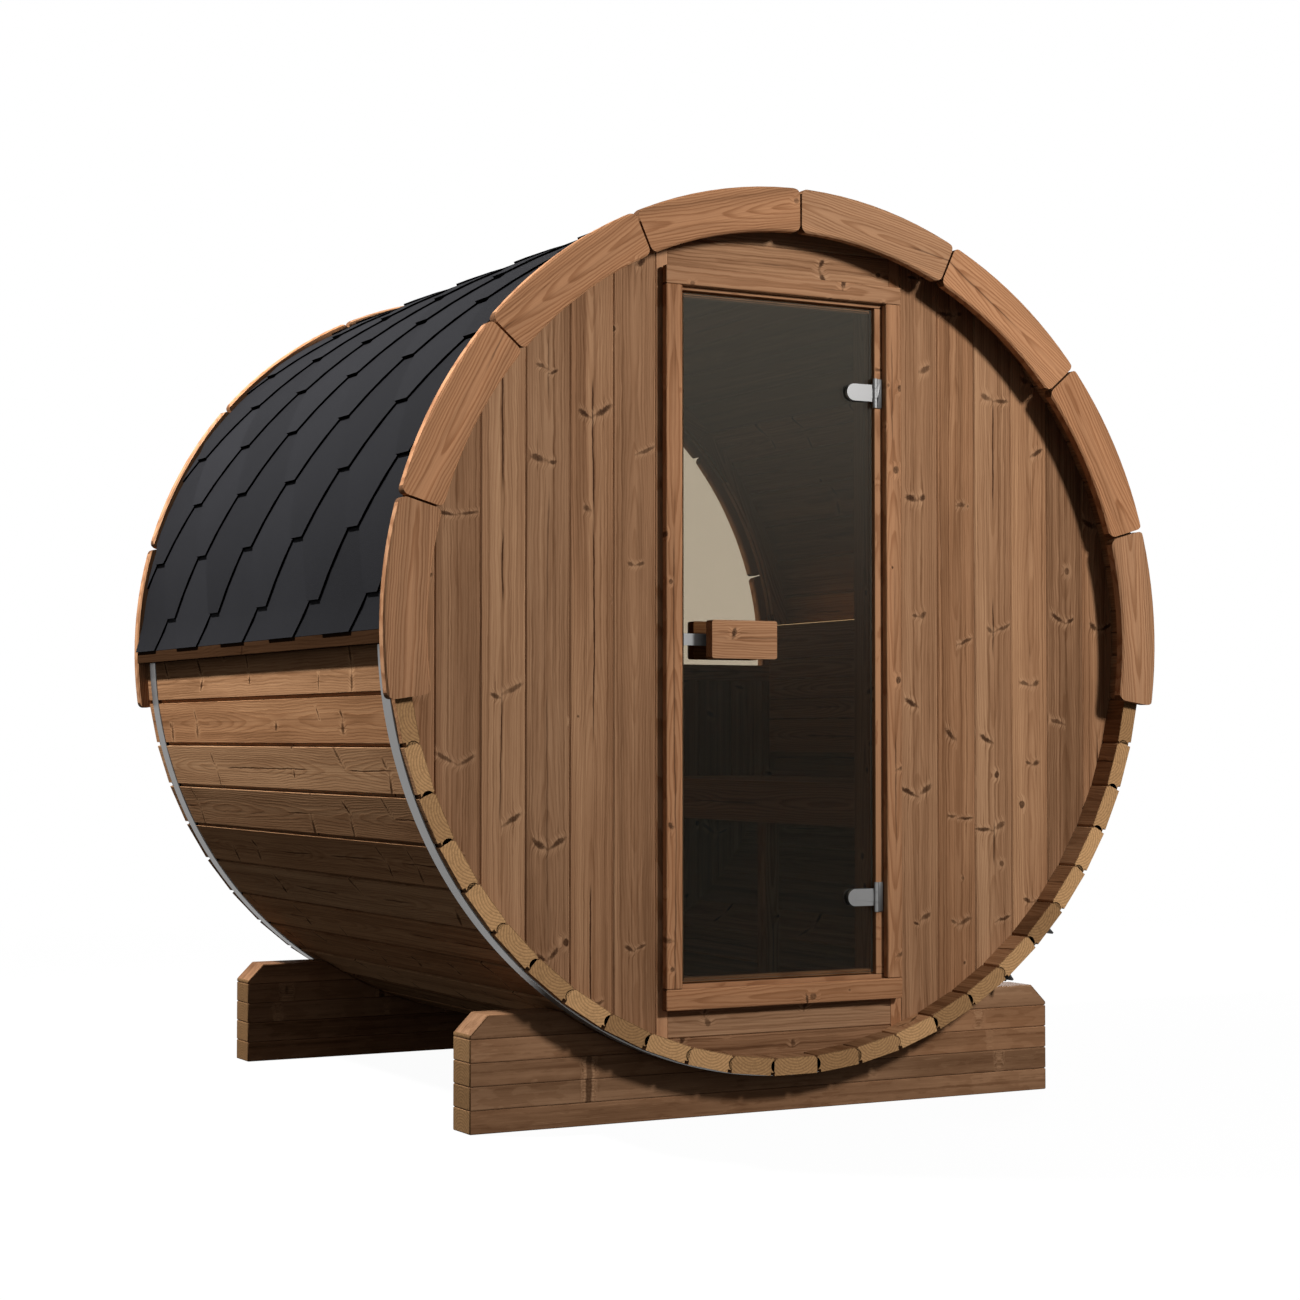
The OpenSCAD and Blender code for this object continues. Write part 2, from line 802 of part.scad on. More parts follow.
// Arched frame of the window in four boards, grooved for the pane
module window_arch() {
    face = rear_face - wall_t;
    color(light_wood) difference() {
        intersection() {
            barrel_bar(wall_r, face, wall_t);
            span(
                [-2 * barrel_r, face - over, transom_top + board_gap],
                [2 * barrel_r, rear_face + over, 2 * axis_z]
            );
        }
        barrel_bar(arch_r, face - over, wall_t + 2 * over);
        barrel_bar(arch_r + pane_seat, pane_y - seat_gap, window_t + 2 * seat_gap);
        for (turn = [45, 90, 135]) translate([0, rear_face, axis_z]) rotate([0, -turn, 0])
            translate([0, -2 * wall_t, -board_gap / 2]) cube([2 * barrel_r, 4 * wall_t, board_gap]);
    }
}

// Half-moon pane in the groove of the arch, standing on the transom
module window_glass() {
    color(bronze) intersection() {
        barrel_bar(arch_r + pane_seat - seat_gap, pane_y, window_t);
        span(
            [-2 * barrel_r, pane_y - over, transom_top + seat_gap],
            [2 * barrel_r, pane_y + window_t + over, 2 * axis_z]
        );
    }
}

// BENCHES

// Keeps what lies inside the barrel
module inside_room() {
    intersection() {
        children();
        barrel_bar(room_r, -half_len, stave_len);
    }
}

seat_front = aisle_half + apron_t + seat_gap;
slat_w = (seat_back - seat_front - (slat_n - 1) * slat_gap) / slat_n;
slat_low = seat_z - slat_t;
joist_y = [-bench_len / 2 + joist_inset, -leg_y - bench_post / 2, bench_len / 2 - joist_inset - bench_post];

module bench_seat(side) {
    color(wood) on_side(side) for (i = [0 : slat_n - 1]) {
        x0 = seat_front + i * (slat_w + slat_gap);
        span([x0, -bench_len / 2, slat_low], [x0 + slat_w, bench_len / 2, seat_z]);
    }
}

// Front board, joists from it to the staves, and a leg under the middle joist
module bench_frame(side) {
    joist_high = slat_low - seat_gap;
    joist_low = joist_high - bench_post;
    color(wood) on_side(side) {
        span(
            [aisle_half, -bench_len / 2, seat_z - apron_h],
            [aisle_half + apron_t, bench_len / 2, seat_z]
        );
        inside_room() for (y = joist_y)
            span([seat_front, y, joist_low], [barrel_r, y + bench_post, joist_high]);
        inside_room()
            span(
                [seat_front, joist_y[1], 0],
                [seat_front + bench_post, joist_y[1] + bench_post, joist_low - seat_gap]
            );
    }
}

backrest_rows = concat([low_slat_h], [for (i = [1 : narrow_slat_n]) narrow_slat_h], [top_slat_h]);

// Height of a backrest slat's lower edge
function row_z(i) = i == 0 ? backrest_z : row_z(i - 1) + backrest_rows[i - 1] + backrest_gap;

// Lying slats on two upright cleats that reach back to the staves
module backrest(side) {
    back = backrest_x + backrest_t + seat_gap;
    end = backrest_y + backrest_len;
    cleat_top = backrest_z + backrest_h - light_h - 2 * seat_gap;
    color(wood) on_side(side) {
        for (i = [0 : len(backrest_rows) - 1]) span(
            [backrest_x, backrest_y, row_z(i)],
            [backrest_x + backrest_t, end, row_z(i) + backrest_rows[i]]
        );
        inside_room() for (y = [backrest_y + cleat_inset, end - cleat_inset - cleat_w])
            span([back, y, backrest_z], [barrel_r, y + cleat_w, cleat_top]);
    }
}

// Light strip behind the top slat of each backrest, on the cleats
module backrest_lights() {
    back = backrest_x + backrest_t + seat_gap;
    top = backrest_z + backrest_h;
    color(warm) for (side = [-1, 1]) on_side(side) span(
        [back, backrest_y, top - light_h - seat_gap],
        [back + light_t, backrest_y + backrest_len, top - seat_gap]
    );
}

// ASSEMBLY

cradle(-1);  // front_cradle
cradle(1);  // rear_cradle
staves(0);  // bottom_staves
staves(1);  // right_lower_staves
staves(2);  // right_side_staves
staves(3);  // right_upper_staves
staves(4);  // top_staves
staves(-3);  // left_upper_staves
staves(-2);  // left_side_staves
staves(-1);  // left_lower_staves
hoop(-1);  // front_hoop
hoop(1);  // rear_hoop
hoop_clamps();
rim_trim(-1);  // front_trim
rim_trim(1);  // rear_trim
roof_shingles();
eave_batten(-1);  // left_eave_batten
eave_batten(1);  // right_eave_batten
front_wall_side(-1);  // front_wall_left
front_wall_side(1);  // front_wall_right
front_wall_header();
front_wall_sill();
door_posts();
door_jamb();
door_stop();
door_casing();
hinge_leaves();
door_glass();
hinge_clamps();
hinge_gaskets();
handle_block(handle_out_y);  // outer_handle
handle_block(handle_in_y);  // inner_handle
handle_spacers();
latch_plate();
rear_wall();
rear_transom();
window_arch();
window_glass();
bench_seat(-1);  // left_bench_seat
bench_frame(-1);  // left_bench_frame
backrest(-1);  // left_backrest
bench_seat(1);  // right_bench_seat
bench_frame(1);  // right_bench_frame
backrest(1);  // right_backrest
backrest_lights();
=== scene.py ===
"""Looks of the barrel sauna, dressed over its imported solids."""

import math
import random

import bmesh
import bpy
from bpy.props import FloatProperty, FloatVectorProperty, IntProperty, PointerProperty
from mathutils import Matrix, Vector


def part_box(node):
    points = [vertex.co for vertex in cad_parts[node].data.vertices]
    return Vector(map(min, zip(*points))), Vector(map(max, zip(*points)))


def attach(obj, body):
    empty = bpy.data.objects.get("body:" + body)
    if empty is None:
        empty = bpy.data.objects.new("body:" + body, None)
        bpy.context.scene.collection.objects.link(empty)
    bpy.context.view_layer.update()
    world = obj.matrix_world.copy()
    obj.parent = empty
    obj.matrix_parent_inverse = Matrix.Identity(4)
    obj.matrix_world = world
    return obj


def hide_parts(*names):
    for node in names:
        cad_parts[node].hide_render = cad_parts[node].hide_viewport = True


bl_info = {
    "name": "Barrel sauna",
    "version": (1, 0, 0),
    "blender": (4, 5, 0),
    "location": "View3D > Sidebar > Sauna",
    "description": "Dresses the packed barrel sauna and sets its stage",
    "category": "Object",
}

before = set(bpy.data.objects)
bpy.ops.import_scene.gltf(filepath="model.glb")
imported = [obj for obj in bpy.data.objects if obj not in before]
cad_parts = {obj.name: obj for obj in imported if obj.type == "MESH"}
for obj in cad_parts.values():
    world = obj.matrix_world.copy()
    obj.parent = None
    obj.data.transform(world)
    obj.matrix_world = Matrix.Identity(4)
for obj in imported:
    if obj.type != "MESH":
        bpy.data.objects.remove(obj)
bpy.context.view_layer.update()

STAVE_NODES = ["bottom_staves", "right_lower_staves", "right_side_staves", "right_upper_staves", "top_staves",
               "left_upper_staves", "left_side_staves", "left_lower_staves"]
AXIS_Z = 1.094        # height of the barrel's axis
SHARP_ANGLE = 32      # degrees from which an edge is rounded
FACET_WIDTH = 0.018   # widest strip of a curve that counts as round
SAW_LINE = 0.0011     # dark line round the sawn end of a stave
JOINT_DEPTH = 0.0175  # how far from a stave's middle layer that line follows its joints


def srgb(red, green, blue):
    """Linear colour of an 8-bit one."""
    def linear(value):
        value /= 255
        return value / 12.92 if value <= 0.04045 else ((value + 0.055) / 1.055) ** 2.4
    return linear(red), linear(green), linear(blue)


def solid(colour):
    """A colour with full alpha."""
    return (*colour, 1.0)


def shaded(colour, factor):
    """A colour made darker or lighter."""
    return tuple(value * factor for value in colour)


# ---------------------------------------------------------------- settings

def tint(name, description, colour):
    """A colour setting."""
    return FloatVectorProperty(name=name, description=description, subtype="COLOR", size=3, min=0, max=1,
                               default=colour)


def amount(name, description, value, unit="NONE"):
    """A number setting."""
    return FloatProperty(name=name, description=description, default=value, unit=unit)


def length(name, description, metres):
    """A length setting."""
    return amount(name, description, metres, "LENGTH")


class SaunaWood(bpy.types.PropertyGroup):
    """Colours of the timber."""
    board_dark: tint("Dark board", "Darkest of the wall and stave boards", srgb(110, 78, 54))
    board_mid: tint("Board", "Usual colour of the wall and stave boards", srgb(146, 109, 80))
    board_light: tint("Light board", "Lightest of the wall and stave boards", srgb(174, 136, 103))
    trim: tint("Trim", "Trim rings, casing, benches and handles", srgb(164, 121, 88))
    end_grain: tint("End grain", "Sawn ends of the staves", srgb(178, 141, 102))
    knot: tint("Knot", "Heart of a knot", srgb(62, 38, 24))
    # The eave colour is the batten's stain, darkened further as painted shade of the shingle edge above it.
    eave: tint("Eave batten", "Stained batten under the roof edge", srgb(50, 34, 22))


class SaunaRoof(bpy.types.PropertyGroup):
    """Sizes and colours of the shingle roof."""
    radius: length("Deck radius", "Radius that the shingles lie on", 1.0037)
    pitch: length("Tab pitch", "Length of roof from one tab to the next", 0.3445)
    exposure: length("Course height", "Part of a course that stays uncovered", 0.1535)
    flat: length("Tab end", "Width of the straight end of a hexagonal tab", 0.070)
    thickness: length("Shingle thickness", "Thickness of one shingle", 0.0048)
    first: length("First tabs", "Height of the first whole tab ends above the eave", 0.076)
    courses: IntProperty(name="Courses", description="Courses from the eave to the ridge", default=11)
    flare: length("Eave flare", "How far the roof edge stands off the staves", 0.0143)
    flare_height: length("Flare height", "Arc over which the roof edge bends out", 0.085)
    granules: tint("Granules", "Stone granules of the shingles", srgb(30, 30, 32))
    edge: tint("Cut edge", "Bitumen at the cut edges", srgb(4, 4, 4))


class SaunaFittings(bpy.types.PropertyGroup):
    """Colours of metal, glass and light."""
    steel: tint("Steel", "Hoops, hinges and latch", srgb(156, 155, 154))
    black: tint("Black", "Bolts and gaskets", srgb(30, 30, 31))
    glass: tint("Door glass", "What one face of the smoked door glass lets through", (0.72, 0.70, 0.66))
    window: tint("Window glass", "What one face of the bronze window glass lets through", (0.89, 0.84, 0.765))
    glass_edge: tint("Glass edge", "Ground edge of the glass", srgb(84, 74, 58))
    lamp: tint("Lamp", "Light strip along the backrest", srgb(255, 214, 160))
    lens_rise: length("Lens rise", "How far a light strip's lens stands proud", 0.0025)
    lamp_strength: amount("Lamp strength", "Strength of the light strip", 3.2)
    hoop_radius: length("Hoop radius", "Inner radius of the hoops", 1.0002)


class SaunaStage(bpy.types.PropertyGroup):
    """Light and camera."""
    key: amount("Key light", "Power of the soft box before the door", 180.0)
    side: amount("Side light", "Power of the soft box at the right and behind", 300.0)
    top: amount("Top light", "Power of the soft box above at the left", 385.0)
    ambient: amount("Ambient light", "Strength of the light from all round", 0.19)
    lens: amount("Lens", "Focal length in millimetres", 70.81)


# ---------------------------------------------------------------- shader maths

class Value:
    """A socket, so that shader maths reads as Python."""

    def __init__(self, finish, socket):
        self.finish = finish
        self.socket = socket

    def maths(self, operation, *terms):
        return self.finish.node("ShaderNodeMath", {"operation": operation}, dict(enumerate(terms)))

    def __add__(self, other):
        return self.maths("ADD", self, other)

    def __sub__(self, other):
        return self.maths("SUBTRACT", self, other)

    def __rsub__(self, other):
        return self.maths("SUBTRACT", other, self)

    def __mul__(self, other):
        return self.maths("MULTIPLY", self, other)

    def __truediv__(self, other):
        return self.maths("DIVIDE", self, other)

    def __pow__(self, other):
        return self.maths("POWER", self, other)

    def larger(self, other):
        return self.maths("MAXIMUM", self, other)

    def whole(self):
        return self.maths("FLOOR", self)

    def size(self):
        return self.maths("ABSOLUTE", self)

    def over(self, other):
        return self.maths("GREATER_THAN", self, other)

    def teeth(self):
        """Rises from 0 to 1 within each whole number."""
        return self.maths("FRACT", self)

    def twin(self, name):
        """Another output of the same node."""
        return Value(self.finish, self.socket.node.outputs[name])

    def step(self, low, high, start=0.0, end=1.0):
        """Smooth change from start to end between two values."""
        return self.finish.node("ShaderNodeMapRange", {"interpolation_type": "SMOOTHSTEP"},
                                {0: self, 1: low, 2: high, 3: start, 4: end})


class Nodes:
    """A shader tree and the one way that its nodes are made."""

    def __init__(self, tree):
        self.tree = tree
        tree.nodes.clear()

    def feed(self, socket, value):
        if isinstance(value, Value):
            self.tree.links.new(value.socket, socket)
        else:
            socket.default_value = value

    def node(self, kind, settings=None, inputs=None, out=0):
        """Add a node: its type, its settings, then the values or links of its sockets."""
        node = self.tree.nodes.new(kind)
        for key, setting in (settings or {}).items():
            if key == "stops":
                ramp = node.color_ramp
                while len(ramp.elements) < len(setting):
                    ramp.elements.new(1.0)
                for element, (place, colour) in zip(ramp.elements, setting):
                    element.position = place
                    element.color = colour
            else:
                setattr(node, key, setting)
        for key, value in (inputs or {}).items():
            self.feed(node.inputs[key], value)
        return Value(self, node.outputs[out]) if node.outputs else node

    def seen(self):
        """One where the camera, a mirror or glass looks, and nothing where light is gathered."""
        sight = self.node("ShaderNodeLightPath")
        return sight.larger(sight.twin("Is Glossy Ray")).larger(sight.twin("Is Transmission Ray"))

    def attribute(self, name, out="Fac"):
        return self.node("ShaderNodeAttribute", {"attribute_name": name}, out=out)

    def mix(self, factor, first, second, how="MIX"):
        """Blend two colours."""
        return self.node("ShaderNodeMix", {"data_type": "RGBA", "blend_type": how},
                         {0: factor, 6: first, 7: second}, out=2)

    def stretch(self, vector, scale, shift=(0, 0, 0)):
        """A vector times a scale, plus a shift."""
        return self.node("ShaderNodeVectorMath", {"operation": "MULTIPLY_ADD"}, {0: vector, 1: scale, 2: shift})

    def join(self, x, y, z):
        return self.node("ShaderNodeCombineXYZ", None, {0: x, 1: y, 2: z})

    def noise(self, vector, scale=1.0, detail=2.0, roughness=0.5, distortion=0.0):
        return self.node("ShaderNodeTexNoise", None, {"Vector": vector, "Scale": scale, "Detail": detail,
                                                      "Roughness": roughness, "Distortion": distortion})

    def place(self):
        """Where a point lies on its object."""
        return self.node("ShaderNodeTexCoord", out="Object")

    def axes(self, vector):
        """First part of a vector, with the others as its twins."""
        return self.node("ShaderNodeSeparateXYZ", None, {0: vector})

    def split(self, colour):
        """Red of a colour, with green and blue as its twins."""
        return self.node("ShaderNodeSeparateColor", None, {0: colour})

    def dice(self, x, y, z):
        """Three chance numbers of a cell, as a split colour."""
        return self.split(self.node("ShaderNodeTexWhiteNoise", None, {"Vector": self.join(x, y, z)}, out="Color"))

    def bump(self, height, strength, distance):
        return self.node("ShaderNodeBump", None, {"Height": height, "Strength": strength, "Distance": distance})


FINISHES = {}


class Finish(Nodes):
    """A material with its main shader, listed by its name."""

    def __init__(self, name, **numbers):
        self.material = bpy.data.materials.new(name)
        self.material.use_nodes = True
        super().__init__(self.material.node_tree)
        self.shader = self.node("ShaderNodeBsdfPrincipled")
        self.set(**numbers)
        self.output = self.node("ShaderNodeOutputMaterial", None, {"Surface": self.shader})
        FINISHES[name] = self.material

    def set(self, **sockets):
        """Feed the main shader's sockets by name."""
        for name, value in sockets.items():
            title = name.replace("_", " ").title().replace("Ior", "IOR")
            self.feed(self.shader.socket.node.inputs[title], value)


def wood_finish(name, dark, mid, light, end, knot, knots, whiskers, rings, streaks, gloss, spacing=0.19,
                spread=1.0, plain_and_shaded_back=False):
    """Planed timber, read from each board's own grain coordinates: along, across and through it."""
    f = Finish(name, specular_ior_level=gloss)
    grain = f.attribute("grain", "Vector")
    tone = f.attribute("tone")
    end_face = f.attribute("endgrain")
    joint = end_face.over(1.5)
    wobble = f.stretch(f.noise(f.stretch(grain, (16, 45, 45)), detail=3).twin("Color"), (0.010, 0.007, 0.004),
                       (-0.005, -0.0035, -0.002))
    x = f.axes(f.node("ShaderNodeVectorMath", {"operation": "ADD"}, {0: grain, 1: wobble}))
    y, z = x.twin("Y"), x.twin("Z")
    board = (y + 0.5).whole()
    mid_y = y - board
    off = mid_y.size()

    # Spike knots: whiskers that lean out from the heart of the board and end in an eye
    reach = 0.26
    turn = (x / reach).whole()
    lot = f.dice(turn, board, 0.5)
    side = f.dice(turn, board, mid_y.over(0) * 7 + 3.5)
    length = side.twin("Green") * (0.038 * spread) + 0.016 * spread
    lean = lot.twin("Green") * 0.45 + side.twin("Blue") * 0.35 - 0.05
    ragged = f.noise(f.join(x * 95, y * 95, board), detail=4, roughness=0.7) - 0.5
    frayed = f.noise(f.join(x * 300, y * 210, board), detail=3, roughness=0.7) - 0.5
    apart = ((x / reach).teeth() - lot * 0.5 - 0.25) * reach - off * lean + side * 0.018 + ragged * 0.005
    thick = side.twin("Blue") * 0.0052 + 0.0034
    there = side.over(1 - whiskers) * lot.twin("Blue").over(0.2)
    # On the inner face of a board: no knots here, and painted shade further down.
    if plain_and_shaded_back:
        there = there * z.over(-0.009)
    depth_of_tone = side.step(1 - whiskers, 1.0, 0.70, 1.0)
    stalk = (1 - apart.size() / (thick * 0.7)).step(0, 1.0) * (length * 0.9 - off).step(0, 0.004)
    out = (off - length * 0.60) / (length * 0.42)
    oval = ((apart / thick) ** 2 + out * out) ** 0.5 + ragged * 0.9 + frayed * 1.0
    eye = (1 - oval).step(-0.28, 0.42) * depth_of_tone
    core = (0.55 - oval).step(0, 0.3) * there
    whisker = (stalk * depth_of_tone * 0.5).larger(eye) * there
    tail = (0.0017 - (off - length * 0.6).size() + ragged * 0.003).step(0, 0.0014)
    tail = tail * (0.06 - apart.size()).step(0, 0.045) * there * side.over(1 - whiskers * 0.55)
    whisker_halo = (3.6 - apart.size() / thick).step(0, 3.0) * (length * 1.25 - off).step(0, 0.014) * there

    # Round knots
    cells = f.node("ShaderNodeTexVoronoi", {"voronoi_dimensions": "2D"},
                   {"Vector": f.join(x * 0.85, y, 0), "Scale": 1 / spacing, "Randomness": 0.95})
    far = cells * spacing
    luck = f.split(cells.twin("Color"))
    heart = luck.over(1 - knots) * (luck.twin("Green") * 0.0055 + 0.0028)
    round_knot = (heart - far + frayed * 0.0022).step(-0.0010, 0.0018) * luck.twin("Blue").step(0, 1, 0.6, 1.0)
    round_halo = (heart * 3.0 - far).step(0, 0.012) * heart.over(0.001)
    knot_mask = whisker.larger(round_knot)
    halo = whisker_halo.larger(round_halo)

    # Growth rings cut lengthwise: arches where the heart lies shallow, straight lines elsewhere
    sway = f.noise(f.join(x * 1.1, mid_y * 5, board * 3.7), detail=2) - 0.5
    depth = f.noise(f.join(x * 1.5, board * 5.3, 0.3), detail=1) * 0.075 - 0.012
    bent = mid_y + sway * 0.018 + halo * 0.007
    cone = (bent * bent + depth * depth) ** 0.5
    ring_phase = (cone * 205 + f.noise(f.join(x * 7, y * 60, z * 60), detail=2) * 0.7).teeth()
    late = ring_phase.step(0.35, 0.86) * ring_phase.step(1.0, 0.9)
    fibre = f.noise(f.join(x * 3.8, bent * 330, z * 330 + board), detail=4, roughness=0.7)
    lines = f.noise(f.join(x * 0.7, bent * 190, z * 70 + board), detail=3, roughness=0.6)
    broad = f.noise(f.join(x * 0.55, bent * 34, z * 14 + board * 2), detail=3, roughness=0.6)
    patches = f.noise(f.join(x * 2.4, y * 15, z * 15), detail=4, roughness=0.62)

    shade = tone * 0.52 + broad * 1.10 + patches * 0.55 - 0.58
    base = f.node("ShaderNodeValToRGB", {"stops": [(0.08, solid(dark)), (0.45, solid(mid)), (0.88, solid(light))]},
                  {0: shade})
    hue = f.node("ShaderNodeTexWhiteNoise", {"noise_dimensions": "1D"}, {"W": board})
    base = f.mix(1.0, base, f.mix(hue, solid((1.04, 0.975, 0.92)), solid((0.97, 1.01, 1.05))), "MULTIPLY")
    base = f.mix(late * rings, base, solid((0.58, 0.48, 0.40)), "MULTIPLY")
    base = f.mix(lines.step(0.48, 0.70) * streaks, base, solid((0.50, 0.43, 0.38)), "MULTIPLY")
    base = f.mix(fibre.step(0.50, 0.78) * 0.46, base, solid((0.52, 0.45, 0.40)), "MULTIPLY")
    base = f.mix(fibre.step(0.46, 0.22) * 0.26, base, solid(shaded(light, 1.3)))
    # Painted shade: the inner face of each board, inside the barrel, is darkened.
    if plain_and_shaded_back:
        base = f.mix(z.step(-0.006, -0.011), base, solid((0.72, 0.70, 0.68)), "MULTIPLY")

    # Heart line that opens in a dark check here and there
    check = (0.0026 - (mid_y + sway * 0.03).size()).step(0, 0.0016) * tone.step(0.35, 0.5)
    check = check * f.noise(f.join(x * 3.2, board * 4.1, 0.7), detail=1).step(0.50, 0.60)
    base = f.mix(check * streaks * 1.5, base, solid(shaded(knot, 1.1)))
    base = f.mix(halo * (1 - knot_mask) * fibre.step(0.62, 0.35) * 0.50, base, solid(shaded(light, 1.15)))
    knot_shade = f.noise(f.join(x * 220, y * 220, z * 220), detail=2)
    wood_eye = f.mix(knot_shade.step(0.35, 0.75), solid(shaded(knot, 0.8)), solid(shaded(dark, 0.62)))
    wood_eye = f.mix(core * 0.55, wood_eye, solid(shaded(knot, 0.45)))
    base = f.mix(tail * 0.75, base, solid((0.42, 0.34, 0.28)), "MULTIPLY")
    base = f.mix(knot_mask * 0.93, base, wood_eye)

    # Sawn ends: growth rings and saw marks
    pith = z + 0.036
    circles = (((mid_y * mid_y + pith * pith) ** 0.5 + sway * 0.004) * 150).teeth().step(0.35, 0.95)
    mottle = f.noise(f.stretch(grain, (60, 170, 170)), detail=4, roughness=0.65)
    sawn = f.mix(circles * 0.62, solid(shaded(end, 1.08)), solid(shaded(end, 0.50)))
    sawn = f.mix(mottle.step(0.42, 0.70) * 0.50, sawn, solid(shaded(end, 0.50)))
    sawn = f.mix(1.0, sawn, f.mix(tone, solid((0.66, 0.60, 0.53)), solid((1.26, 1.20, 1.10))), "MULTIPLY")
    sawn = f.mix(joint * 0.62, sawn, solid(shaded(knot, 0.8)))
    f.set(base_color=f.mix(end_face, base, sawn),
          roughness=(fibre * 0.22 + lines * 0.12 + 0.44).larger(end_face.over(0.5) * 0.82))
    relief = fibre * 0.45 + lines * 0.4 + late * 0.30 + mottle * end_face.over(0.5) * 1.4
    f.set(normal=f.bump(relief - knot_mask * 0.3 - check * 0.8, 0.38, 0.0011))


def one_timber(colour, low, high):
    """Dark, usual, light and sawn colours of a timber that hardly varies."""
    return shaded(colour, low), colour, shaded(colour, high), shaded(colour, low)


def shingle_finish(granules, edge):
    """Stone-coated bitumen and its black cut edge."""
    f = Finish("shingle_granules", specular_ior_level=0.01)
    place = f.place()
    tone = f.attribute("tone")
    speck = f.noise(place, 620, 2, 0.7)
    stone = f.node("ShaderNodeTexVoronoi", None, {"Vector": place, "Scale": 420})
    cloud = f.noise(place, 9, 3, 0.6)
    base = f.mix(tone * 0.45 + cloud * 0.5, solid(shaded(granules, 0.62)), solid(shaded(granules, 1.12)))
    base = f.mix(speck.step(0.45, 0.75) * 0.35, base, solid(shaded(granules, 1.9)))
    base = f.mix(speck.step(0.5, 0.25) * 0.35, base, solid(shaded(granules, 0.35)))
    f.set(base_color=base, roughness=cloud * 0.14 + 0.70,
          normal=f.bump(stone * 0.7 + speck * 0.6, 0.35, 0.0012))
    f = Finish("shingle_edge", roughness=0.85, specular_ior_level=0.0)
    rough = f.noise(f.place(), 260, 3, 0.6)
    f.set(base_color=f.mix(rough, solid(shaded(edge, 0.6)), solid(shaded(edge, 1.3))))


def metal_finish(name, colour, metallic, low, high, brush):
    """Brushed or coated metal."""
    f = Finish(name, metallic=metallic)
    place = f.place()
    drawn = f.noise(f.stretch(place, brush), detail=3, roughness=0.65)
    smear = f.noise(place, 14, 3, 0.55)
    f.set(base_color=f.mix(smear * 0.5 + drawn * 0.4, solid(shaded(colour, 0.72)), solid(colour)),
          roughness=smear * (high - low) + drawn * 0.10 + low, normal=f.bump(drawn, 0.12, 0.0004))


def glass_finish(name, colour):
    """Tinted glass that lets the light through, with a reflection made stronger towards the top as painted
    reflection.
    """
    f = Finish(name)
    clear = f.node("ShaderNodeBsdfTransparent", None, {"Color": solid(colour)})
    mirror = f.node("ShaderNodeBsdfGlossy", None, {"Color": (1.0, 0.95, 0.80, 1.0), "Roughness": 0.02})
    facing = f.node("ShaderNodeLayerWeight", None, {"Blend": 0.5}, "Facing")
    # Painted reflection: the mirror share rises with height, so the pane reflects more towards its top.
    painted_reflection_rise = f.axes(f.place()).twin("Z").step(0.85, 1.98, 0.17, 0.86)
    pane = f.node("ShaderNodeMixShader", None, {0: (facing ** 5 * 0.96 + 0.04) * painted_reflection_rise, 1: clear, 2: mirror})
    f.tree.nodes.remove(f.shader.socket.node)
    f.feed(f.output.inputs["Surface"], pane)


def ground_edge_finish(edge):
    """Ground edge of a pane."""
    f = Finish("glass_edge", specular_ior_level=0.5)
    ground = f.noise(f.place(), 180, 3, 0.6)
    f.set(base_color=f.mix(ground, solid(shaded(edge, 0.7)), solid(shaded(edge, 1.3))), roughness=ground * 0.2 + 0.2)


def lamp_finish(colour, strength):
    """Warm light strip with a slightly uneven diffuser."""
    f = Finish("lamp_strip", roughness=0.4, emission_strength=strength)
    dots = f.noise(f.stretch(f.place(), (40, 60, 40)), detail=1)
    glow = f.mix(dots, solid(shaded(colour, 0.75)), solid(colour))
    f.set(base_color=glow, emission_color=glow)


# ---------------------------------------------------------------- meshes

def merged(node):
    """A node's solids as clean faces."""
    bm = bmesh.new()
    bm.from_mesh(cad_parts[node].data)
    bmesh.ops.remove_doubles(bm, verts=bm.verts, dist=2e-5)
    bmesh.ops.dissolve_limit(bm, angle_limit=math.radians(0.04), verts=bm.verts, edges=bm.edges)
    return bm


def islands(bm):
    """Lists of the faces that hang together."""
    seen = set()
    found = []
    for first in bm.faces:
        if first in seen:
            continue
        seen.add(first)
        heap, group = [first], []
        while heap:
            face = heap.pop()
            group.append(face)
            for edge in face.edges:
                for other in edge.link_faces:
                    if other not in seen:
                        seen.add(other)
                        heap.append(other)
        found.append(group)
    return sorted(found, key=standing)


def middle_of(group):
    """Mean of the middles of some faces."""
    return sum((face.calc_center_median() for face in group), Vector()) / len(group)


def standing(group):
    """Place of a group of faces to the millimetre, so that groups sort the same way each time."""
    return tuple(round(value * 1000 + 0.317) for value in middle_of(group))


def forwards(direction):
    """A direction or its opposite, whichever points to the positive side."""
    leading = max(direction, key=lambda value: round(abs(value), 3))
    return direction if leading > 0 else -direction


def narrow(face):
    """Whether a face is one strip of a curve, not a flat side."""
    return face.calc_area() < FACET_WIDTH * max(edge.calc_length() for edge in face.edges)


def soften(bm, width, segments=2):
    """Round the sharp edges and keep the flat sides flat."""
    sharp = [edge for edge in bm.edges if len(edge.link_faces) == 2
             and edge.calc_face_angle(0) > math.radians(SHARP_ANGLE) and edge.calc_length() > width * 1.5]
    if width:
        bmesh.ops.bevel(bm, geom=sharp, offset=width, offset_type="OFFSET", segments=segments, profile=0.5,
                        affect="EDGES", clamp_overlap=True)
    for face in bm.faces:
        face.smooth = narrow(face)


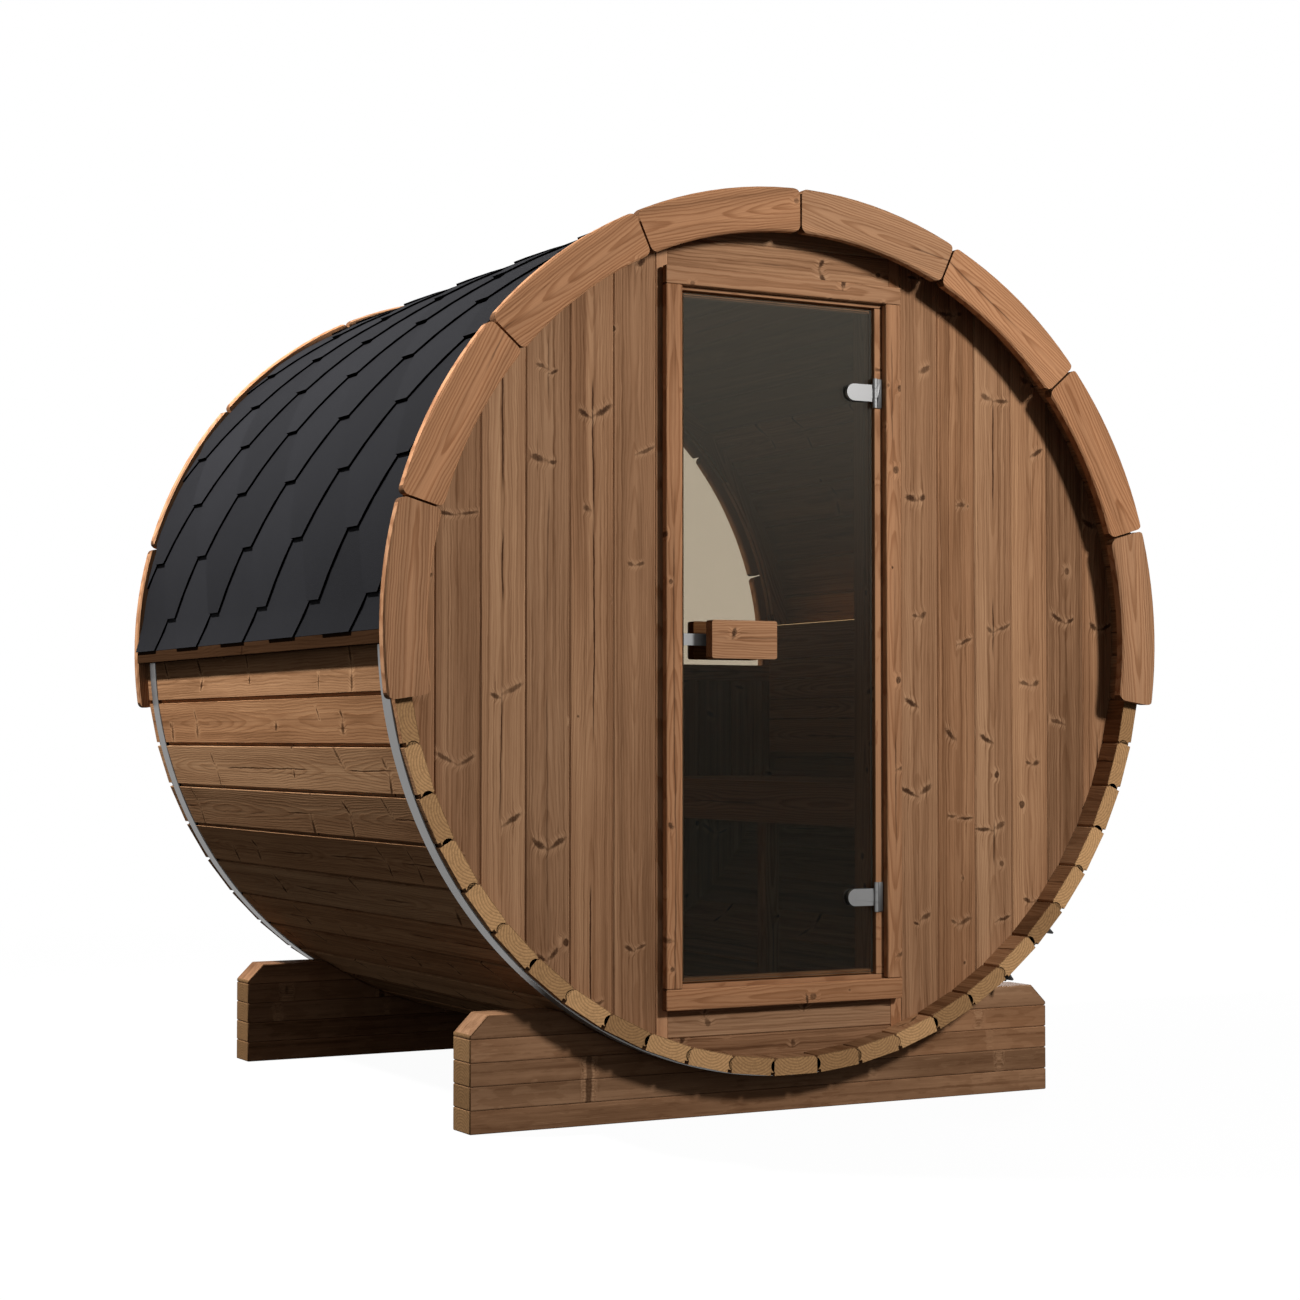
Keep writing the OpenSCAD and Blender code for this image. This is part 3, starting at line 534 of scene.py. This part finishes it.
def board_axes(group, layout):
    """Directions along, across and through one board of a ring, of the barrel or of anything straight."""
    edges = {edge for face in group for edge in face.edges}
    longest = max(edges, key=lambda edge: edge.calc_length())
    along = forwards((longest.verts[1].co - longest.verts[0].co).normalized())
    points = {vert for face in group for vert in face.verts}
    middle = sum((vert.co for vert in points), Vector()) / len(points)
    if layout == "stave":
        along = Vector((0, 1, 0))
        through = Vector((middle.x, 0, middle.z - AXIS_Z))
    elif layout == "ring":
        through = Vector((0, 1, 0))
        along = through.cross(Vector((middle.x, 0, middle.z - AXIS_Z))).normalized()
    else:
        sums = []
        for face in group:
            if abs(face.normal.dot(along)) > 0.3:
                continue
            for entry in sums:
                if abs(entry[0].dot(face.normal)) > 0.97:
                    entry[1] += face.calc_area()
                    break
            else:
                sums.append([face.normal.copy(), face.calc_area()])
        through = forwards(max(sums, key=lambda entry: (round(entry[1], 5), round(abs(entry[0].x), 2)))[0])
    through = (through - along * through.dot(along)).normalized()
    return along, along.cross(through), through, middle


def finish_mesh(bm, name, materials, body, nodes, smooth=30):
    """Turn a bmesh into a piece that rides a body and stands for its nodes."""
    mesh = bpy.data.meshes.new(name)
    rounded = [face.smooth for face in bm.faces]
    bm.to_mesh(mesh)
    bm.free()
    for material in materials:
        mesh.materials.append(FINISHES[material])
    mesh.set_sharp_from_angle(angle=math.radians(smooth))
    mesh.polygons.foreach_set("use_smooth", rounded)
    piece = bpy.data.objects.new(name, mesh)
    bpy.context.scene.collection.objects.link(piece)
    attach(piece, body)
    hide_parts(*nodes)
    return piece


def take_in(whole, bm):
    """Add one bmesh to another and free it."""
    mesh = bpy.data.meshes.new("scrap")
    bm.to_mesh(mesh)
    bm.free()
    whole.from_mesh(mesh)
    bpy.data.meshes.remove(mesh)


def dress_boards(name, nodes, material, width, body="cabin", layout="straight", tones=(0.0, 1.0), segments=2,
                 batch=None):
    """Boards with rounded edges, each with its own run of grain and its own tone; batch picks another draw."""
    whole = bmesh.new()
    grain = whole.verts.layers.float_vector.new("grain")
    tone = whole.verts.layers.float.new("tone")
    ends = whole.faces.layers.float.new("endgrain")
    for node in nodes:
        bm = merged(node)
        axes = [board_axes(group, layout) for group in islands(bm)]
        soften(bm, width, segments)
        sawn = [face for face in bm.faces if layout == "stave" and abs(face.normal.y) > 0.97
                and face.calc_area() > 5e-4]
        rims = set(bmesh.ops.inset_individual(bm, faces=sawn, thickness=SAW_LINE, use_even_offset=True)["faces"])
        for number, group in enumerate(islands(bm)):
            middle = middle_of(group)
            along, across, through, centre = min(axes, key=lambda entry: (entry[3] - middle).length)
            lot = random.Random(f"{node} {number} {batch}" if batch else f"{node} {number}")
            start = Vector((lot.uniform(0, 40), lot.randint(0, 60), lot.uniform(-0.008, 0.008)))
            shade = lot.uniform(*tones)
            copies = {}
            for face in group:
                corners = []
                for vert in face.verts:
                    if vert not in copies:
                        copy = whole.verts.new(vert.co)
                        offset = vert.co - centre
                        copy[grain] = start + Vector((offset.dot(along), offset.dot(across), offset.dot(through)))
                        copy[tone] = shade
                        copies[vert] = copy
                    corners.append(copies[vert])
                made = whole.faces.new(corners)
                made.smooth = face.smooth
                lengthwise = abs(face.normal.dot(along))
                edgewise = abs(face.normal.dot(across)) > 0.6 * abs(face.normal.dot(through))
                inside = abs((face.calc_center_median() - centre).dot(through)) < JOINT_DEPTH
                if (face in rims and inside) or (face.smooth and edgewise and 0.25 < lengthwise < 0.97):
                    made[ends] = 2.0
                else:
                    made[ends] = 1.0 if lengthwise > 0.8 else 0.0
        bm.free()
    return finish_mesh(whole, name, [material], body, nodes)


def dress_plain(name, nodes, material, width, body="cabin", segments=2, edge=None):
    """Metal, glass or rubber with rounded edges."""
    whole = bmesh.new()
    for node in nodes:
        bm = merged(node)
        soften(bm, width, segments)
        if edge:
            for face in bm.faces:
                face.material_index = 0 if abs(face.normal.y) > 0.9 else 1
        take_in(whole, bm)
    return finish_mesh(whole, name, [material] + ([edge] if edge else []), body, nodes)


# ---------------------------------------------------------------- shingles

def course_tree():
    """Rows of one shape, every other row moved along."""
    tree = bpy.data.node_groups.new("shingle_courses", "GeometryNodeTree")
    face = tree.interface
    face.new_socket("Geometry", in_out="INPUT", socket_type="NodeSocketGeometry")
    inputs = {}
    for name, kind in (("Tabs", "NodeSocketInt"), ("Courses", "NodeSocketInt"), ("Pitch", "NodeSocketFloat"),
                       ("Exposure", "NodeSocketFloat"), ("Shift", "NodeSocketFloat"),
                       ("Start", "NodeSocketVector"), ("Seed", "NodeSocketInt"), ("Finish", "NodeSocketMaterial")):
        inputs[name] = face.new_socket(name, in_out="INPUT", socket_type=kind).identifier
    face.new_socket("Geometry", in_out="OUTPUT", socket_type="NodeSocketGeometry")

    def add(kind, settings=None, links=None):
        node = tree.nodes.new(kind)
        for key, value in (settings or {}).items():
            setattr(node, key, value)
        for key, value in (links or {}).items():
            if isinstance(value, bpy.types.NodeSocket):
                tree.links.new(value, node.inputs[key])
            else:
                node.inputs[key].default_value = value
        return node

    def maths(operation, first, second):
        return add("ShaderNodeMath", {"operation": operation}, {0: first, 1: second}).outputs[0]

    given = add("NodeGroupInput").outputs
    wide = maths("MULTIPLY", maths("SUBTRACT", given["Tabs"], 1.0), given["Pitch"])
    high = maths("MULTIPLY", maths("SUBTRACT", given["Courses"], 1.0), given["Exposure"])
    grid = add("GeometryNodeMeshGrid", None, {"Size X": wide, "Size Y": high, "Vertices X": given["Tabs"],
                                              "Vertices Y": given["Courses"]}).outputs["Mesh"]
    row = maths("MODULO", add("GeometryNodeInputIndex").outputs[0], given["Courses"])
    odd = maths("MODULO", row, 2.0)
    lean = add("ShaderNodeCombineXYZ", None, {0: maths("ADD", maths("MULTIPLY", odd, given["Shift"]),
                                                       maths("MULTIPLY", wide, 0.5)),
                                              1: maths("MULTIPLY", high, 0.5)}).outputs[0]
    move = add("ShaderNodeVectorMath", {"operation": "ADD"}, {0: lean, 1: given["Start"]}).outputs[0]
    laid = add("GeometryNodeSetPosition", None, {"Geometry": grid, "Offset": move}).outputs[0]
    placed = add("GeometryNodeInstanceOnPoints", None, {"Points": laid, "Instance": given["Geometry"]}).outputs[0]
    chance = add("FunctionNodeRandomValue", {"data_type": "FLOAT"}, {"Seed": given["Seed"]}).outputs[1]
    toned = add("GeometryNodeStoreNamedAttribute", {"data_type": "FLOAT", "domain": "INSTANCE"},
                {"Geometry": placed, "Name": "tone", "Value": chance}).outputs[0]
    real = add("GeometryNodeRealizeInstances", None, {"Geometry": toned}).outputs[0]
    done = add("GeometryNodeSetMaterial", None, {"Geometry": real, "Material": given["Finish"]}).outputs[0]
    add("NodeGroupOutput", None, {"Geometry": done})
    return tree, inputs


def hexagon_tab(roof):
    """One tab with its covered upper half, lying flat, its end on the course below."""
    bm = bmesh.new()
    half, end, drop = roof.pitch / 2, roof.flat / 2, roof.exposure
    rows = [(drop * step / 3, end + (half - 2 * end) * step / 3) for step in range(4)]
    left = [bm.verts.new((-width, height, 0)) for height, width in rows]
    right = [bm.verts.new((width, height, 0)) for height, width in rows]
    for low in range(3):
        bm.faces.new((left[low], right[low], right[low + 1], left[low + 1]))
    below = [bm.verts.new((-half, drop, 0)), left[3], right[3], bm.verts.new((half, drop, 0))]
    for height in (drop * 1.4, drop * 1.8, drop * 2.15):
        above = [bm.verts.new((vert.co.x, height, 0)) for vert in below]
        for column in range(3):
            bm.faces.new((below[column], below[column + 1], above[column + 1], above[column]))
        below = above
    return thicken(bm, roof.thickness, lambda point: 2 * roof.thickness * max(0.0, 1 - point.y / (2 * drop)))


def thicken(bm, thickness, lift):
    """Give a flat shape its thickness and lift it off the deck."""
    upper = bmesh.ops.extrude_face_region(bm, geom=list(bm.faces))["geom"]
    tops = {item for item in upper if isinstance(item, bmesh.types.BMVert)}
    for vert in bm.verts:
        vert.co.z = lift(vert.co) + (thickness if vert in tops else 0.0)
    bmesh.ops.recalc_face_normals(bm, faces=bm.faces)
    return bm


def lay_courses(bm, **sizes):
    """Repeat a shape in courses and return the flat result."""
    mesh = bpy.data.meshes.new("tab")
    bm.to_mesh(mesh)
    bm.free()
    maker = bpy.data.objects.new("tab", mesh)
    bpy.context.scene.collection.objects.link(maker)
    tree, inputs = course_tree()
    modifier = maker.modifiers.new("courses", "NODES")
    modifier.node_group = tree
    for name, value in sizes.items():
        modifier[inputs[name]] = value
    bpy.context.view_layer.update()
    held = maker.evaluated_get(bpy.context.evaluated_depsgraph_get())
    result = bpy.data.meshes.new_from_object(held)
    maker.modifiers.clear()
    bpy.data.objects.remove(maker)
    flat = bmesh.new()
    flat.from_mesh(result)
    return flat


def trim_off(bm, point, normal):
    """Cut away what lies beyond a plane and close the cut."""
    bmesh.ops.bisect_plane(bm, geom=list(bm.verts) + list(bm.edges) + list(bm.faces), dist=1e-6, plane_co=point,
                           plane_no=normal, clear_outer=True)
    rim = [edge for edge in bm.edges if edge.is_boundary]
    bmesh.ops.holes_fill(bm, edges=rim, sides=0)


def bend_to_barrel(bm, roof, side):
    """Wrap the flat courses round the barrel on one side."""
    for vert in bm.verts:
        along, arc, lift = vert.co
        flare = max(0.0, 1 - arc / roof.flare_height)
        radius = roof.radius + lift + roof.flare * flare ** 1.6
        turn = arc / roof.radius
        vert.co = (side * radius * math.cos(turn), along, AXIS_Z + radius * math.sin(turn))


def lay_on_roof(whole, flat, roof, side, cuts):
    """Cut laid courses to the roof, blacken their edges and wrap them round the barrel."""
    for point, normal in cuts:
        trim_off(flat, point, normal)
    flat.normal_update()
    for face in flat.faces:
        face.material_index = 0 if face.normal.z > 0.5 else 1
    bend_to_barrel(flat, roof, side)
    bmesh.ops.recalc_face_normals(flat, faces=flat.faces)
    take_in(whole, flat)


# ---------------------------------------------------------------- operators

def looks(context):
    """The groups of settings."""
    return context.scene.sauna_wood, context.scene.sauna_roof, context.scene.sauna_fittings, context.scene.sauna_stage


class SAUNA_OT_finishes(bpy.types.Operator):
    """Make the timber, shingle, metal, glass and lamp materials"""
    bl_idname = "sauna.finishes"
    bl_label = "Finishes"

    def execute(self, context):
        wood, roof, fittings = looks(context)[:3]
        dark, mid, light, trim, end, knot, eave = (tuple(colour) for colour in (
            wood.board_dark, wood.board_mid, wood.board_light, wood.trim, wood.end_grain, wood.knot, wood.eave))
        wood_finish("heat_treated_boards", dark, mid, light, end, knot,
                    knots=0.30, whiskers=0.82, rings=0.36, streaks=0.80, gloss=0.02)
        warm = (1.10, 1.07, 1.01)
        wood_finish("stave_boards", *(tuple(part * tinge for part, tinge in zip(colour, warm))
                                      for colour in (dark, mid, light)), end, knot,
                    knots=0.16, whiskers=0.80, rings=0.42, streaks=0.52, gloss=0.0, spread=1.4, plain_and_shaded_back=True)
        # Cradle ends at 0.60 of the end grain: partly darker end grain, partly painted shade on these sideways faces.
        wood_finish("sleeper_boards", dark, mid, light, shaded(end, 0.60), knot,
                    knots=0.55, whiskers=0.0, rings=0.34, streaks=0.66, gloss=0.02, spacing=0.13)
        wood_finish("planed_trim", *one_timber(trim, 0.72, 1.28), knot,
                    knots=0.14, whiskers=0.12, rings=0.70, streaks=0.40, gloss=0.03)
        wood_finish("knotty_casing", *one_timber(shaded(trim, 0.93), 0.72, 1.28), knot,
                    knots=0.45, whiskers=0.12, rings=0.62, streaks=0.45, gloss=0.03, spacing=0.075)
        # Batten stain, darkened as painted shade under the roof edge.
        wood_finish("stained_and_shaded_batten", *one_timber(eave, 0.7, 1.35), shaded(knot, 0.6),
                    knots=0.1, whiskers=0.1, rings=0.3, streaks=0.4, gloss=0.0)
        shingle_finish(tuple(roof.granules), tuple(roof.edge))
        metal_finish("satin_steel", shaded(tuple(fittings.steel), 0.57), 1.0, 0.34, 0.50, (30, 30, 900))
        metal_finish("hoop_steel", shaded(tuple(fittings.steel), 0.72), 1.0, 0.30, 0.48, (60, 700, 60))
        metal_finish("black_fittings", tuple(fittings.black), 0.0, 0.45, 0.65, (200, 200, 200))
        glass_finish("smoked_glass", tuple(fittings.glass))
        glass_finish("bronze_glass", tuple(fittings.window))
        ground_edge_finish(tuple(fittings.glass_edge))
        lamp_finish(tuple(fittings.lamp), fittings.lamp_strength)
        return {"FINISHED"}


class SAUNA_OT_staves(bpy.types.Operator):
    """Dress the bead-and-cove staves of the barrel"""
    bl_idname = "sauna.staves"
    bl_label = "Staves"

    def execute(self, context):
        dress_boards("barrel_staves", STAVE_NODES, "stave_boards", 0.0016, layout="stave",
                     batch=26701)
        return {"FINISHED"}


class SAUNA_OT_walls(bpy.types.Operator):
    """Dress the boards of the two end walls"""
    bl_idname = "sauna.walls"
    bl_label = "End walls"

    def execute(self, context):
        dress_boards("front_wall_boards", ["front_wall_left", "front_wall_right", "front_wall_header",
                                           "front_wall_sill"], "heat_treated_boards", 0.0008,
                     batch=11644)
        dress_boards("rear_wall_boards", ["rear_wall"], "heat_treated_boards", 0.0008)
        return {"FINISHED"}


class SAUNA_OT_trim(bpy.types.Operator):
    """Dress the trim rings, cradles and eave battens"""
    bl_idname = "sauna.trim"
    bl_label = "Trim and cradles"

    def execute(self, context):
        for name in ("front_trim", "rear_trim"):
            dress_boards(name + "_boards", [name], "planed_trim", 0, layout="ring", tones=(0.25, 0.8))
        for name in ("front_cradle", "rear_cradle"):
            dress_boards(name + "_boards", [name], "sleeper_boards", 0.003, tones=(0.0, 0.5))
        for name in ("left_eave_batten", "right_eave_batten"):
            dress_boards(name + "_board", [name], "stained_and_shaded_batten", 0.0015)
        return {"FINISHED"}


class SAUNA_OT_doorway(bpy.types.Operator):
    """Dress the posts, jamb, stop and casing of the doorway"""
    bl_idname = "sauna.doorway"
    bl_label = "Doorway"

    def execute(self, context):
        dress_boards("doorway_posts", ["door_posts", "door_stop"], "planed_trim", 0.001)
        dress_boards("doorway_jamb", ["door_jamb"], "knotty_casing", 0.0015, tones=(0.2, 0.7))
        dress_boards("doorway_casing", ["door_casing"], "knotty_casing", 0.003, tones=(0.3, 0.75),
                     segments=3)
        return {"FINISHED"}


class SAUNA_OT_door(bpy.types.Operator):
    """Dress the glass door with its hinges, handles and latch"""
    bl_idname = "sauna.door"
    bl_label = "Glass door"

    def execute(self, context):
        dress_plain("door_pane", ["door_glass"], "smoked_glass", 0.0008, "door", 1, "glass_edge")
        dress_plain("hinge_plates", ["hinge_clamps"], "satin_steel", 0.0007, "door")
        dress_plain("hinge_pads", ["hinge_gaskets"], "black_fittings", 0, "door")
        dress_plain("hinge_frame_leaves", ["hinge_leaves"], "satin_steel", 0.0007)
        dress_plain("latch_strip", ["latch_plate"], "satin_steel", 0.0003, "door")
        dress_plain("handle_standoffs", ["handle_spacers"], "satin_steel", 0.0005, "door")
        for name in ("outer_handle", "inner_handle"):
            dress_boards(name + "_block", [name], "planed_trim", 0.0025, "door", tones=(0.35, 0.6),
                         segments=3)
        return {"FINISHED"}


class SAUNA_OT_window(bpy.types.Operator):
    """Dress the half-round back window"""
    bl_idname = "sauna.window"
    bl_label = "Back window"

    def execute(self, context):
        dress_boards("window_rail", ["rear_transom"], "planed_trim", 0.002, tones=(0.25, 0.7))
        dress_boards("window_arch_boards", ["window_arch"], "planed_trim", 0.0015, layout="ring",
                     tones=(0.25, 0.7))
        dress_plain("window_pane", ["window_glass"], "bronze_glass", 0, "cabin", 1, "glass_edge")
        return {"FINISHED"}


class SAUNA_OT_benches(bpy.types.Operator):
    """Dress the benches, backrests and their light strips"""
    bl_idname = "sauna.benches"
    bl_label = "Benches"

    def execute(self, context):
        for side in ("left", "right"):
            dress_boards(side + "_bench_boards", [side + "_bench_seat", side + "_bench_frame"], "planed_trim",
                         0.002, tones=(0.1, 0.8))
            dress_boards(side + "_backrest_slats", [side + "_backrest"], "planed_trim", 0.002,
                         tones=(0.1, 0.8))
        strips = dress_plain("light_strips", ["backrest_lights"], "lamp_strip", 0.001)
        lens_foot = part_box("backrest_lights")[1][2] - 0.002
        for vert in strips.data.vertices:
            if vert.co.z > lens_foot:
                vert.co.z += context.scene.sauna_fittings.lens_rise
        return {"FINISHED"}


class SAUNA_OT_hoops(bpy.types.Operator):
    """Spin the steel hoops and dress their tensioners"""
    bl_idname = "sauna.hoops"
    bl_label = "Hoops"

    def execute(self, context):
        fittings = context.scene.sauna_fittings
        for name in ("front_hoop", "rear_hoop"):
            low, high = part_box(name)
            bm = bmesh.new()
            inner, outer, soft = fittings.hoop_radius, high[0], 0.0005
            section = [(inner, low[1]), (outer - soft, low[1]), (outer, low[1] + soft), (outer, high[1] - soft),
                       (outer - soft, high[1]), (inner, high[1])]
            turns = 288
            loops = []
            for step in range(turns):
                turn = 2 * math.pi * step / turns
                loops.append([bm.verts.new((radius * math.cos(turn), along, AXIS_Z + radius * math.sin(turn)))
                              for radius, along in section])
            for step in range(turns):
                here, ahead = loops[step], loops[(step + 1) % turns]
                for corner in range(len(section)):
                    other = (corner + 1) % len(section)
                    bm.faces.new((here[corner], here[other], ahead[other], ahead[corner]))
            bmesh.ops.recalc_face_normals(bm, faces=bm.faces)
            for face in bm.faces:
                face.smooth = True
            finish_mesh(bm, name + "_band", ["hoop_steel"], "cabin", [name])
        dress_plain("hoop_tensioners", ["hoop_clamps"], "black_fittings", 0.0006)
        return {"FINISHED"}


class SAUNA_OT_roof(bpy.types.Operator):
    """Lay the hexagonal shingles and the ridge caps"""
    bl_idname = "sauna.roof"
    bl_label = "Shingle roof"

    def execute(self, context):
        roof = context.scene.sauna_roof
        whole = bmesh.new()
        ridge = roof.radius * math.pi / 2
        low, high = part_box("roof_shingles")
        eave = math.asin(max(-1.0, (low[2] - AXIS_Z) / (roof.radius + roof.flare))) * roof.radius
        ends = [((low[1], 0, 0), (-1, 0, 0)), ((high[1], 0, 0), (1, 0, 0))]
        edges = [((0, eave, 0), (0, -1, 0)), ((0, ridge, 0), (0, 1, 0))]
        tabs, tab_place = 8, -0.088
        for side in (-1, 1):
            flat = lay_courses(hexagon_tab(roof), Tabs=tabs, Courses=roof.courses + 2, Pitch=roof.pitch,
                               Exposure=roof.exposure, Shift=roof.pitch / 2, Seed=3 + side,
                               Start=(tab_place - 3.5 * roof.pitch + roof.pitch / 2,
                                      roof.first - 2 * roof.exposure, 0),
                               Finish=FINISHES["shingle_granules"])
            lay_on_roof(whole, flat, roof, side, ends + edges)
        cap = bmesh.new()
        caps, wide, deep, step, overhang, bed = 13, 0.145, 0.26, 0.1425, 0.02, 0.0058
        rows = [[cap.verts.new((along, across, 0)) for across in (-wide, -wide / 3, wide / 3, wide)]
                for along in (0.0, deep / 2, deep)]
        for first, second in zip(rows, rows[1:]):
            for column in range(3):
                cap.faces.new((first[column], second[column], second[column + 1], first[column + 1]))
        cap = thicken(cap, roof.thickness, lambda point: bed + roof.thickness * (1.9 - point.x / step))
        flat = lay_courses(cap, Tabs=caps, Courses=1, Pitch=step, Exposure=step, Shift=0.0,
                           Start=(low[1] - overhang, ridge, 0), Seed=9, Finish=FINISHES["shingle_granules"])
        lay_on_roof(whole, flat, roof, -1, ends)
        for face in whole.faces:
            face.smooth = True
        finish_mesh(whole, "hexagon_shingles", ["shingle_granules", "shingle_edge"], "cabin", ["roof_shingles"],
                    25)
        return {"FINISHED"}


class SAUNA_OT_stage(bpy.types.Operator):
    """Set the floor, the light and the camera"""
    bl_idname = "sauna.stage"
    bl_label = "Stage"

    def execute(self, context):
        scene, stage = context.scene, context.scene.sauna_stage
        scene.view_settings.view_transform = "Standard"

        world = bpy.data.worlds.new("studio")
        scene.world = world
        world.use_nodes = True
        n = Nodes(world.node_tree)
        room = n.node("ShaderNodeBackground", None, {"Color": (1, 1, 1, 1),
                                                     "Strength": n.seen() * (1 - stage.ambient) + stage.ambient})
        n.node("ShaderNodeOutputWorld", None, {"Surface": room})

        mesh = bpy.data.meshes.new("studio_floor")
        span = 40
        mesh.from_pydata([(-span, -span, 0), (span, -span, 0), (span, span, 0), (-span, span, 0)], [], [(0, 1, 2, 3)])
        floor = bpy.data.objects.new("studio_floor", mesh)
        scene.collection.objects.link(floor)
        f = Finish("studio_floor_paper", roughness=0.9, specular_ior_level=0.1)
        seen = f.seen()
        far = f.node("ShaderNodeVectorMath", {"operation": "LENGTH"}, {0: f.place()}, "Value")
        gathered, shown = (0.03, 0.03, 0.03), (0.8, 0.8, 0.8)
        f.set(base_color=f.mix(seen, solid(gathered), solid(shown)))
        white = f.node("ShaderNodeEmission", None, {"Color": (1, 1, 1, 1), "Strength": 1.0})
        lit = seen * far.step(2.5, 6.0, 0.965, 1.0)
        f.feed(f.output.inputs["Surface"], f.node("ShaderNodeMixShader", None, {0: lit, 1: f.shader, 2: white}))
        mesh.materials.append(f.material)

        aim = Vector((0, 0, 1.05))
        for name, power, size, place in (("key_light", stage.key, 0.6, (1.3, -4.6, 2.85)),
                                         ("side_light", stage.side, 1.5, (5.0, 4.0, 3.0)),
                                         ("top_light", stage.top, 0.25, (-2.8, 0.9, 4.0))):
            soft_box = bpy.data.lights.new(name, "AREA")
            soft_box.energy = power
            soft_box.shape = "DISK"
            soft_box.size = size
            holder = bpy.data.objects.new(name, soft_box)
            holder.location = place
            holder.rotation_euler = (aim - holder.location).to_track_quat("-Z", "Y").to_euler()
            scene.collection.objects.link(holder)

        eye = bpy.data.cameras.new("photo_camera")
        eye.sensor_width = 36
        eye.lens = stage.lens
        eye.shift_y = 0.00846
        eye.clip_end = 200
        camera = bpy.data.objects.new("photo_camera", eye)
        camera.location = (-3.0729, -5.8458, 0.8615)
        camera.rotation_euler = (math.radians(91.717), 0, math.radians(-28.339))
        scene.collection.objects.link(camera)
        scene.camera = camera
        return {"FINISHED"}


class SAUNA_PT_panel(bpy.types.Panel):
    """Lists the steps that dress the sauna"""
    bl_idname = "SAUNA_PT_panel"
    bl_label = "Barrel sauna"
    bl_space_type = "VIEW_3D"
    bl_region_type = "UI"
    bl_category = "Sauna"

    def draw(self, context):
        for step in STEPS:
            self.layout.operator(step.bl_idname)
        for group in looks(context):
            for name in group.bl_rna.properties.keys():
                if name not in ("rna_type", "name"):
                    self.layout.prop(group, name)


GROUPS = (("sauna_wood", SaunaWood), ("sauna_roof", SaunaRoof), ("sauna_fittings", SaunaFittings),
          ("sauna_stage", SaunaStage))
STEPS = (SAUNA_OT_stage, SAUNA_OT_finishes, SAUNA_OT_staves, SAUNA_OT_walls, SAUNA_OT_trim, SAUNA_OT_doorway,
         SAUNA_OT_door, SAUNA_OT_window, SAUNA_OT_benches, SAUNA_OT_hoops, SAUNA_OT_roof)


def register():
    for name, group in GROUPS:
        bpy.utils.register_class(group)
        setattr(bpy.types.Scene, name, PointerProperty(type=group))
    for step in STEPS:
        bpy.utils.register_class(step)
    bpy.utils.register_class(SAUNA_PT_panel)


def unregister():
    bpy.utils.unregister_class(SAUNA_PT_panel)
    for step in reversed(STEPS):
        bpy.utils.unregister_class(step)
    for name, group in reversed(GROUPS):
        delattr(bpy.types.Scene, name)
        bpy.utils.unregister_class(group)


def main():
    register()
    for step in STEPS:
        area, name = step.bl_idname.split(".")
        getattr(getattr(bpy.ops, area), name)()


if __name__ == "__main__":
    main()
